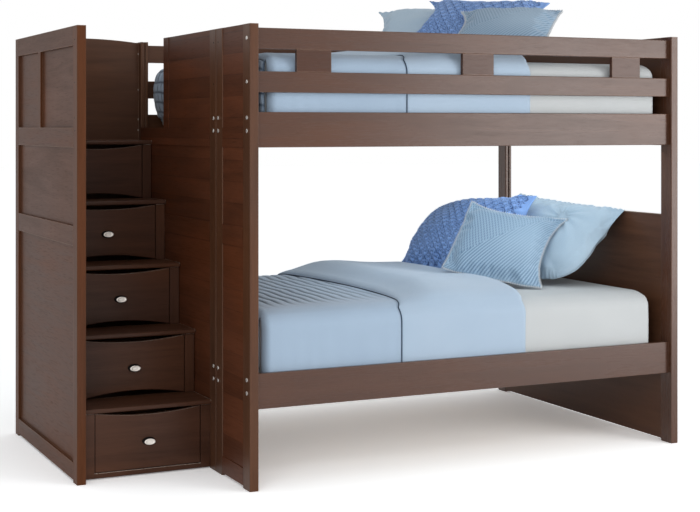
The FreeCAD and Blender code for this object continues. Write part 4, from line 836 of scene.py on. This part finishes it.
def plump_cover(bunk):
    low, high = mattress_box(bunk)
    share = joined((0, 0.06, 9), (0.06, 0.94, 60), (0.94, 1, 9))
    low_edge = low[1] - DROP + 0.01 * (1 - np.cos(np.linspace(0, math.pi / 2, 6)))
    y = np.concatenate([low_edge[:-1], joined((low[1] - DROP + 0.01, low[1] + 0.1, 36),
                                              (low[1] + 0.1, high[1] - 0.1, 64),
                                              (high[1] - 0.1, high[1] + DROP, 36))])
    share, y = np.meshgrid(share, y, indexing="ij")
    over = unit((y - low[1]) / (high[1] - low[1]))
    bow = unit(np.sin(math.pi * unit(over * 1.04)))
    bow = 1.046 * bow / (bow + 0.12) ** 0.4
    start = low[0] + COVER_START + COVER_BOW * bow
    end = low[0] + COVER_END + 0.045 * unit(over / 0.28) ** 0.8 * (over < 1) + 0.006 * bow \
        + 0.006 * ripple(y, y * 0, 4, 0.5)
    x = start + share * (end - start)
    hem = rounded_edge(np.minimum(x - start, end - x), 0.03) \
        * rounded_edge(np.minimum(y - y.min(), y.max() - y), 0.01)
    from_front, from_back = unit((y - low[1] + 0.06) / 0.42), unit((high[1] - y + 0.04) / 0.22)
    crown = np.sin(math.pi / 2 * from_front) * np.sin(math.pi / 2 * from_back) ** 0.8
    length = 0.35 + 0.65 * ease(share / 0.30) - 0.30 * ease((share - 0.30) / 0.5)
    body = COVER_SIDE + 0.0005 * ripple(x, y, 9, 0.2) + COVER_CROWN * crown * length \
        + 0.003 * ripple(x, y, 12, 0.35) * crown
    on_quilt = 0.0134 - 0.0056 * unit(past_edges(y, low, high) / 0.06)
    under = np.minimum(np.where(x < low[0] + QUILT_END + 0.01, on_quilt, 0.003), body - 0.0005)
    outer = lay_over(x, y, low, high, under + (np.maximum(body, under) - under) * hem)
    inner = lay_over(x, y, low, high, under - 0.0005)
    every_cell = np.ones((x.shape[0] - 1, x.shape[1] - 1), bool)
    mesh = closed_sheet(bunk + "_turned_back_cover", outer, inner, np.stack([x, y], -1), every_cell, None)
    cover = link(bunk + "_turned_back_cover", mesh, blanket_finish)
    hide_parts(bunk + "_covers")
    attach(cover, "bed")
    # A dark blue cord along the hem is a painted contact shadow.
    hem_line = lay_over(x[0], y[0], low, high, under[0] + 0.0015)[4:-4]
    follow(bunk + "_cover_hem_shadow_cord", hem_line, sweep, "pale_blue_fabric", Radius=0.0021, Pitch=0.012,
           Finish=hem_shadow_cord_finish)
    return cover


covers = [plump_cover(bunk) for bunk in BUNKS]
print("cover faces", [len(c.data.polygons) for c in covers])

# %% [markdown]
# ## Pillows
# A pillow is two flat cloths sewn together round the edge and filled. The best way to get its crown, its
# drawn-in sides and its seam wrinkles is to do the same: a thin envelope is blown up by the cloth solver,
# with no gravity, and the result is brought to the pillow's measured size.

# %% Pillow sizes and places
# Each pillow stands at a place from the right wall, on the bed's middle line and on the mattress, and is
# turned, leant back and rolled by so many degrees.
PILLOWS = {
    "lower_sham": ((0.4006, -0.060, 0.031), 12.6, 46.1, -5.3),
    "lower_blue_pillow": ((0.5976, 0.239, 0.035), 10.7, 42.8, 4.6),
    "lower_ribbed_pillow": ((0.6226, -0.240, 0.037), 54.9, 48.5, -14.2),
    "upper_sham": ((0.6776, 0.124, 0.063), 53.1, 60.8, 0.7),
    "upper_blue_pillow": ((0.7716, -0.063, 0.027), 31.5, 51.4, -6.0),
    "upper_ribbed_pillow": ((0.7706, -0.491, 0.057), 47.8, 65.3, -1.6),
}
PILLOW_WALL = 1.2413
SIZES = {"sham": (0.722, 0.480, 0.130), "blue_pillow": (0.672, 0.458, 0.135),
         "ribbed_pillow": (0.460, 0.450, 0.110)}
# How far the middle of the left, right, bottom and top side is drawn in, and which corner has slumped.
EVENLY = (0.03, 0.03, 0.03, 0.04)
DRAWN_IN = {"lower_ribbed_pillow": (0.03, 0.24, -0.05, 0.16), "upper_ribbed_pillow": (0.25, 0.06, 0.0, 0.03),
            "upper_blue_pillow": (0.40, 0.08, 0.03, 0.05), "upper_sham": (0.16, 0.05, 0.03, 0.05)}
SLUMP = {"lower_blue_pillow": (-1, 1, 2.5), "lower_sham": (1, -1, 3.0)}


# %% Pillow envelopes
def envelope(name, wide, tall, thick, pitch=0.0105):
    """Two crowned grids that share their seam points. Gives the object and the seam's points in order."""
    columns, rows = int(wide / pitch) + 1, int(tall / pitch) + 1
    u, v = np.meshgrid(np.linspace(-1, 1, columns), np.linspace(-1, 1, rows), indexing="ij")
    crown = thick / 2 * ((1 - np.abs(u) ** 2.4) * (1 - np.abs(v) ** 2.2)) ** 0.5
    left, right, bottom, top = DRAWN_IN.get(name, EVENLY)
    pull_x = right * unit(u) ** 2 + left * unit(-u) ** 2
    pull_z = top * unit(v) ** 2 + bottom * unit(-v) ** 2
    x = u * wide / 2 * (1 - pull_x * (1 - np.abs(v) ** 2.5))
    z = v * tall / 2 * (1 - pull_z * (1 - np.abs(u) ** 2.5) * (1 - 0.4 * u))
    if name in SLUMP:
        side, end, power = SLUMP[name]
        a, b = np.abs(u), np.abs(v)
        round_off = np.maximum(a, b) / np.maximum((a ** power + b ** power) ** (1 / power), 1e-9)
        slumped = np.where((side * u > 0) & (end * v > 0), round_off, 1.0)
        x, z = x * slumped, z * slumped
    points = np.concatenate([np.stack([x, y, z], -1).reshape(-1, 3) for y in (-crown, crown)])
    number = np.arange(columns * rows).reshape(columns, rows)
    behind = number + columns * rows
    rim = np.ones((columns, rows), bool)
    rim[1:-1, 1:-1] = False
    behind[rim] = number[rim]
    faces = cells_of(number).reshape(-1, 4).tolist() + cells_of(behind).reshape(-1, 4)[:, ::-1].tolist()
    flat = np.stack([u * wide / 2, v * tall / 2], -1).reshape(-1, 2)
    mesh, _, fresh = skin(name + "_cushion", points, faces, np.concatenate([flat, flat]))
    thing = link(name + "_cushion", mesh)
    thing.vertex_groups.new(name="seam").add(np.unique(fresh[number[rim]]).tolist(), 1.0, "REPLACE")
    ring = np.concatenate([number[:-1, -1], number[-1, :0:-1], number[:0:-1, 0], number[0, :-1]])
    return thing, fresh[ring]


# %% Blow up the envelopes
FRAMES = 20
CAP = 0.016
AIR = {"use_pressure": True, "uniform_pressure_force": 4.0, "vertex_group_mass": "seam", "shrink_min": -0.05,
       "quality": 5, "mass": 0.25, "tension_stiffness": 22, "compression_stiffness": 22,
       "shear_stiffness": 8, "bending_stiffness": 0.35}


def blow_up(pillows):
    """Runs the cloth solver on all envelopes at once. The seams stay where they are, the cloth is cut 5
    percent too large, and no point may move further than the cap."""
    for thing in pillows:
        air = thing.modifiers.new("air", "CLOTH")
        for setting, value in AIR.items():
            setattr(air.settings, setting, value)
        air.settings.effector_weights.gravity = 0
        air.collision_settings.use_collision = False
        air.point_cache.frame_start, air.point_cache.frame_end = 1, FRAMES
    for number in range(1, FRAMES + 1):
        scene.frame_set(number)
    graph = bpy.context.evaluated_depsgraph_get()
    for thing in pillows:
        before = read(thing.data.vertices, "co")
        move = read(thing.evaluated_get(graph).data.vertices, "co") - before
        far = np.linalg.norm(move, axis=1, keepdims=True)
        print(thing.name, "moved up to", round(float(far.max()), 4), "m")
        thing.modifiers.clear()
        thing.data.vertices.foreach_set("co", (before + move * np.minimum(1, CAP / np.maximum(far, 1e-9))).ravel())
    scene.frame_set(1)


pillows = {}
for name in PILLOWS:
    wide, tall, thick = SIZES[name.split("_", 1)[1]]
    pillows[name] = envelope(name, wide, tall, thick * (0.8))
blow_up([thing for thing, ring in pillows.values()])


# %% [markdown]
# ## Quilting, ribs and hems on the pillows
# The royal blue pillows are quilted in rows of overlapping scallops, and the small ones have ribs that meet
# in a mitre along one diagonal. A bump map would vanish at the outline, so both are real relief: after one
# subdivision each point moves along its own normal by a height read from its flat place on the cloth. The
# same value paints shade into the sewn lines.

# %% Relief patterns
def scallops(u, v, size=0.054):
    """Depth of the sewn lines of a fish-scale quilting, 0 to 1. Each scale has three rings."""
    row = np.floor(v / (size * 0.5))
    out = np.full(u.shape, 9.0)
    for back in (0, 1, 2):
        r = row - back
        centre_u = (np.floor(u / size - 0.5 * (r % 2)) + 0.5 + 0.5 * (r % 2)) * size
        distance = np.hypot(u - centre_u, v - r * size * 0.5) / (size * 0.5)
        out = np.where((distance <= 1.02) & (out == 9.0), distance, out)
    rings = np.minimum(np.abs(out - 0.96), np.minimum(np.abs(out - 0.62), np.abs(out - 0.28)) * 1.3)
    return bell(rings, 0.08)


def mitred_ribs(u, v, wide, tall, pitch=0.0130):
    """Ribs that lean one way below the diagonal and the other way above it, and the crease between them."""
    a, b = u / wide + 0.5, v / tall + 0.46
    phase = np.where(b < a, (0.86 * u - 0.51 * v) / pitch, (0.94 * u + 0.34 * v) / pitch)
    line = 0.5 + 0.5 * np.cos(CIRCLE * phase)
    worn = 1 - 0.7 * np.exp(-((a - 0.72) / 0.28) ** 2 - ((b - 0.5) / 0.32) ** 2)
    return unit(line ** 2.0) * worn, bell(b - a, 0.012)


def gathers(u, v, from_seam):
    """The soft pulls that spread over a sham from one point behind the small pillow, and its ruffled edge."""
    away, bearing = np.hypot(u - 0.10, v - 0.095), np.arctan2(v - 0.095, u - 0.10)
    pulls = np.exp(-away / 0.10) * unit(away / 0.03) * np.cos(13 * bearing + 2 * away / 0.1)
    ruffle = np.sin(u * CIRCLE / 0.037 + 2 * np.sin(u * 21)) * bell(from_seam, 0.02)
    return 0.009 * pulls, 0.0025 * ruffle


def relief(kind, u, v, wide, tall):
    """How far each point of a pillow stands out, and how deep it lies in a sewn line, 0 to 1, which sets its
    painted shade.
    """
    from_seam = np.minimum(wide / 2 - np.abs(u), tall / 2 - np.abs(v))
    free = unit(from_seam / 0.014)
    if kind == "blue_pillow":
        inside = unit((np.minimum(from_seam, wide / 2 - u - 0.028) - 0.004) / 0.006)
        line = scallops(u, v) * inside
        return 0.0030 * inside - 0.0085 * line, line
    if kind == "ribbed_pillow":
        line, crease = mitred_ribs(u, v, wide, tall)
        return (-0.0032 * line - 0.002 * crease) * free, line * free
    line = 0.5 * bell(from_seam - 0.030, 0.003)
    pulls, ruffle = gathers(u, v, from_seam)
    return (0.0050 * ripple(u, v, 10, 0.14) + pulls) * free + ruffle - 0.003 * line, line


# %% Dress the pillows
CLOTHS = {"sham": (sham_finish, "pale_blue_fabric"), "blue_pillow": (royal_finish, "royal_blue_fabric"),
          "ribbed_pillow": (ribbed_finish, "grey_blue_fabric")}


def dress_pillow(name, thing, ring):
    """Subdivides an envelope, gives it its size, relief and cloth, and sets it in its place. Gives its seam."""
    kind = name.split("_", 1)[1]
    wide, tall, thick = SIZES[kind]
    finish, slot = CLOTHS[kind]
    modifier = thing.modifiers.new("finer", "SUBSURF")
    modifier.levels = modifier.render_levels = 1
    mesh = grown(thing)
    thing.modifiers.clear()
    old, thing.data = thing.data, mesh
    bpy.data.meshes.remove(old)
    points = read(mesh.vertices, "co")
    low, high = points.min(0), points.max(0)
    points = (points - (low + high) / 2) * (np.array([wide, thick, tall]) / (high - low))
    mesh.vertices.foreach_set("co", points.ravel())
    mesh.update()
    flat = np.zeros((len(mesh.vertices), 2))
    flat[read(mesh.loops, "vertex_index", 1, np.int32)] = read(mesh.uv_layers["cloth"].data, "uv", 2, np.float32)
    height, line = relief(kind, flat[:, 0], flat[:, 1], wide, tall)
    # The sewn-line value also paints shade into the lines.
    mark_groove_shade(mesh, line)
    points = points + read(mesh.vertices, "normal") * height[:, None]
    mesh.vertices.foreach_set("co", points.ravel())
    seat, turn, lean, roll = PILLOWS[name]
    spin = Matrix.Rotation(math.radians(turn - 90), 4, "Z") @ Matrix.Rotation(math.radians(-lean), 4, "X") \
        @ Matrix.Rotation(math.radians(-roll), 4, "Y")
    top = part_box(name.split("_")[0] + "_mattress")[1].z
    middle = spin @ Vector((0, 0, tall / 2)) + Vector((PILLOW_WALL - seat[0], seat[1], top + seat[2]))
    mesh.transform(Matrix.Translation(middle) @ spin)
    paint(mesh, finish)
    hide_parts(name)
    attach(thing, "bed")
    return [mesh.vertices[int(i)].co.copy() for i in ring]


seams = {name: dress_pillow(name, thing, ring) for name, (thing, ring) in pillows.items()}
print("pillow faces", {name: len(thing.data.polygons) for name, (thing, ring) in pillows.items()})

# %% [markdown]
# ## Picot edges
# The small ribbed pillows have a picot edge: a row of tiny thread loops along the seam. A loop is a short
# bent tube of a few faces, and Geometry Nodes set one at each step along the seam, which a hand would need
# hours for.

# %% Picot tree
picot, given, made = new_group(
    "picot_edge", {"Geometry": "Geometry", "Loop Size": "Float", "Thread": "Float", "Pitch": "Float",
                   "Finish": "Material"}, {"Geometry": "Geometry"}, "Geometry")
ring = first(picot, "CurvePrimitiveCircle", Resolution=8, Radius=given["Loop Size"])
section = first(picot, "CurvePrimitiveCircle", Resolution=4, Radius=given["Thread"])
loop = first(picot, "CurveToMesh", Curve=ring, Profile_Curve=section)
path = first(picot, "MeshToCurve", Mesh=given["Geometry"])
spots = step(picot, "CurveToPoints", {"mode": "LENGTH"}, Curve=path, Length=given["Pitch"]).outputs
set_loops = first(picot, "InstanceOnPoints", Points=spots["Points"], Instance=loop,
                  Rotation=spots["Rotation"])
thread = first(picot, "CurveToMesh", Curve=path, Profile_Curve=section)
whole = step(picot, "JoinGeometry")
for part in (set_loops, thread):
    picot.links.new(part, whole.inputs[0])
plain = first(picot, "RealizeInstances", Geometry=whole.outputs[0])
soft = first(picot, "SetShadeSmooth", Geometry=plain)
plug(picot, made, Geometry=first(picot, "SetMaterial", Geometry=soft, Material=given["Finish"]))

# %% Picot edges on the ribbed pillows
for bunk in BUNKS:
    name = bunk + "_ribbed_pillow"
    middle = sum(seams[name], Vector()) / len(seams[name])
    line = [p + (p - middle).normalized() * 0.002 for p in seams[name]]
    edge = follow(name + "_picot_edge", line, picot, "grey_blue_fabric", True,
                  Loop_Size=0.0048, Thread=0.0012, Pitch=0.0105, Finish=trim_finish)
    print(edge.name, len(edge.data.polygons), "faces")

# %% [markdown]
# ## Knobs
# Each drawer has an oval nickel knob: a thin round neck, a cupped back, and a nearly flat face inside a
# rounded rim, with a thin dark ring behind it as the knob's painted shadow. A lathe gives only round forms, so
# rings of an ellipse are stacked from the drawer front outwards.

# %% Knobs
# Share of the knob's half width, and share of its reach in front of the drawer.
PROFILE = ((0.42, 0.0), (0.42, 0.04), (0.30, 0.12), (0.28, 0.45), (0.40, 0.58), (0.80, 0.72), (0.96, 0.82),
           (1.0, 0.90), (0.99, 0.94), (0.95, 0.965), (0.86, 0.98), (0.74, 0.985), (0.70, 0.97), (0.35, 0.99))
NECK = 0.45
# A thin dark ring round each knob is a painted shadow on the drawer front.
SHADOW_RING_STEPS, SHADOW_RING_MARGIN = ((1.0, 0.0), (1.0, 0.0010), (0.96, 0.0018)), 0.0035
RING_POINTS = 40


def ellipse(middle, wide, tall, y):
    angles = [2 * math.pi * j / RING_POINTS for j in range(RING_POINTS)]
    return [(middle.x + wide * math.cos(a), y, middle.z + tall * math.sin(a)) for a in angles]


def lofted(name, rings, finish, body, tip=None):
    """A closed form over stacked rings. The first ring is capped flat, and the last one flat or by a tip."""
    count, last = RING_POINTS, (len(rings) - 1) * RING_POINTS
    points = sum(rings, [])
    faces = [(i + j, i + (j + 1) % count, i + count + (j + 1) % count, i + count + j)
             for i in range(0, last, count) for j in range(count)]
    faces.append(tuple(range(count - 1, -1, -1)))
    if tip is None:
        faces.append(tuple(range(last, last + count)))
    else:
        faces += [(last + j, last + (j + 1) % count, len(points)) for j in range(count)]
        points.append(tip)
    thing = link(name, new_mesh(name, points, faces), finish)
    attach(thing, body)
    return thing


def knob(k):
    body = f"drawer_{k}"
    low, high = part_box(body + "_knob")
    front_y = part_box(body + "_front")[0].y
    middle, reach = (low + high) / 2, front_y - low.y
    wide, tall = (high.x - low.x) / 2, (high.z - low.z) / 2
    rings = [ellipse(middle, (tall if share < NECK and out < NECK else wide) * share, tall * share,
                     front_y - reach * out) for share, out in PROFILE]
    shape = lofted(body + "_oval_knob", rings, knob_finish, body, (middle.x, front_y - reach, middle.z))
    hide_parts(body + "_knob")
    # The knob's painted shadow: a thin dark ring in the plug plastic.
    painted_shadow_rings = [ellipse(middle, wide * share + SHADOW_RING_MARGIN, tall * share + SHADOW_RING_MARGIN, front_y - out)
             for share, out in SHADOW_RING_STEPS]
    lofted(body + "_knob_painted_shadow", painted_shadow_rings, plug_finish, body)
    return shape


knobs = [knob(k) for k in DRAWERS]
print("knob sizes", [[round(x, 3) for x in k.dimensions] for k in knobs])
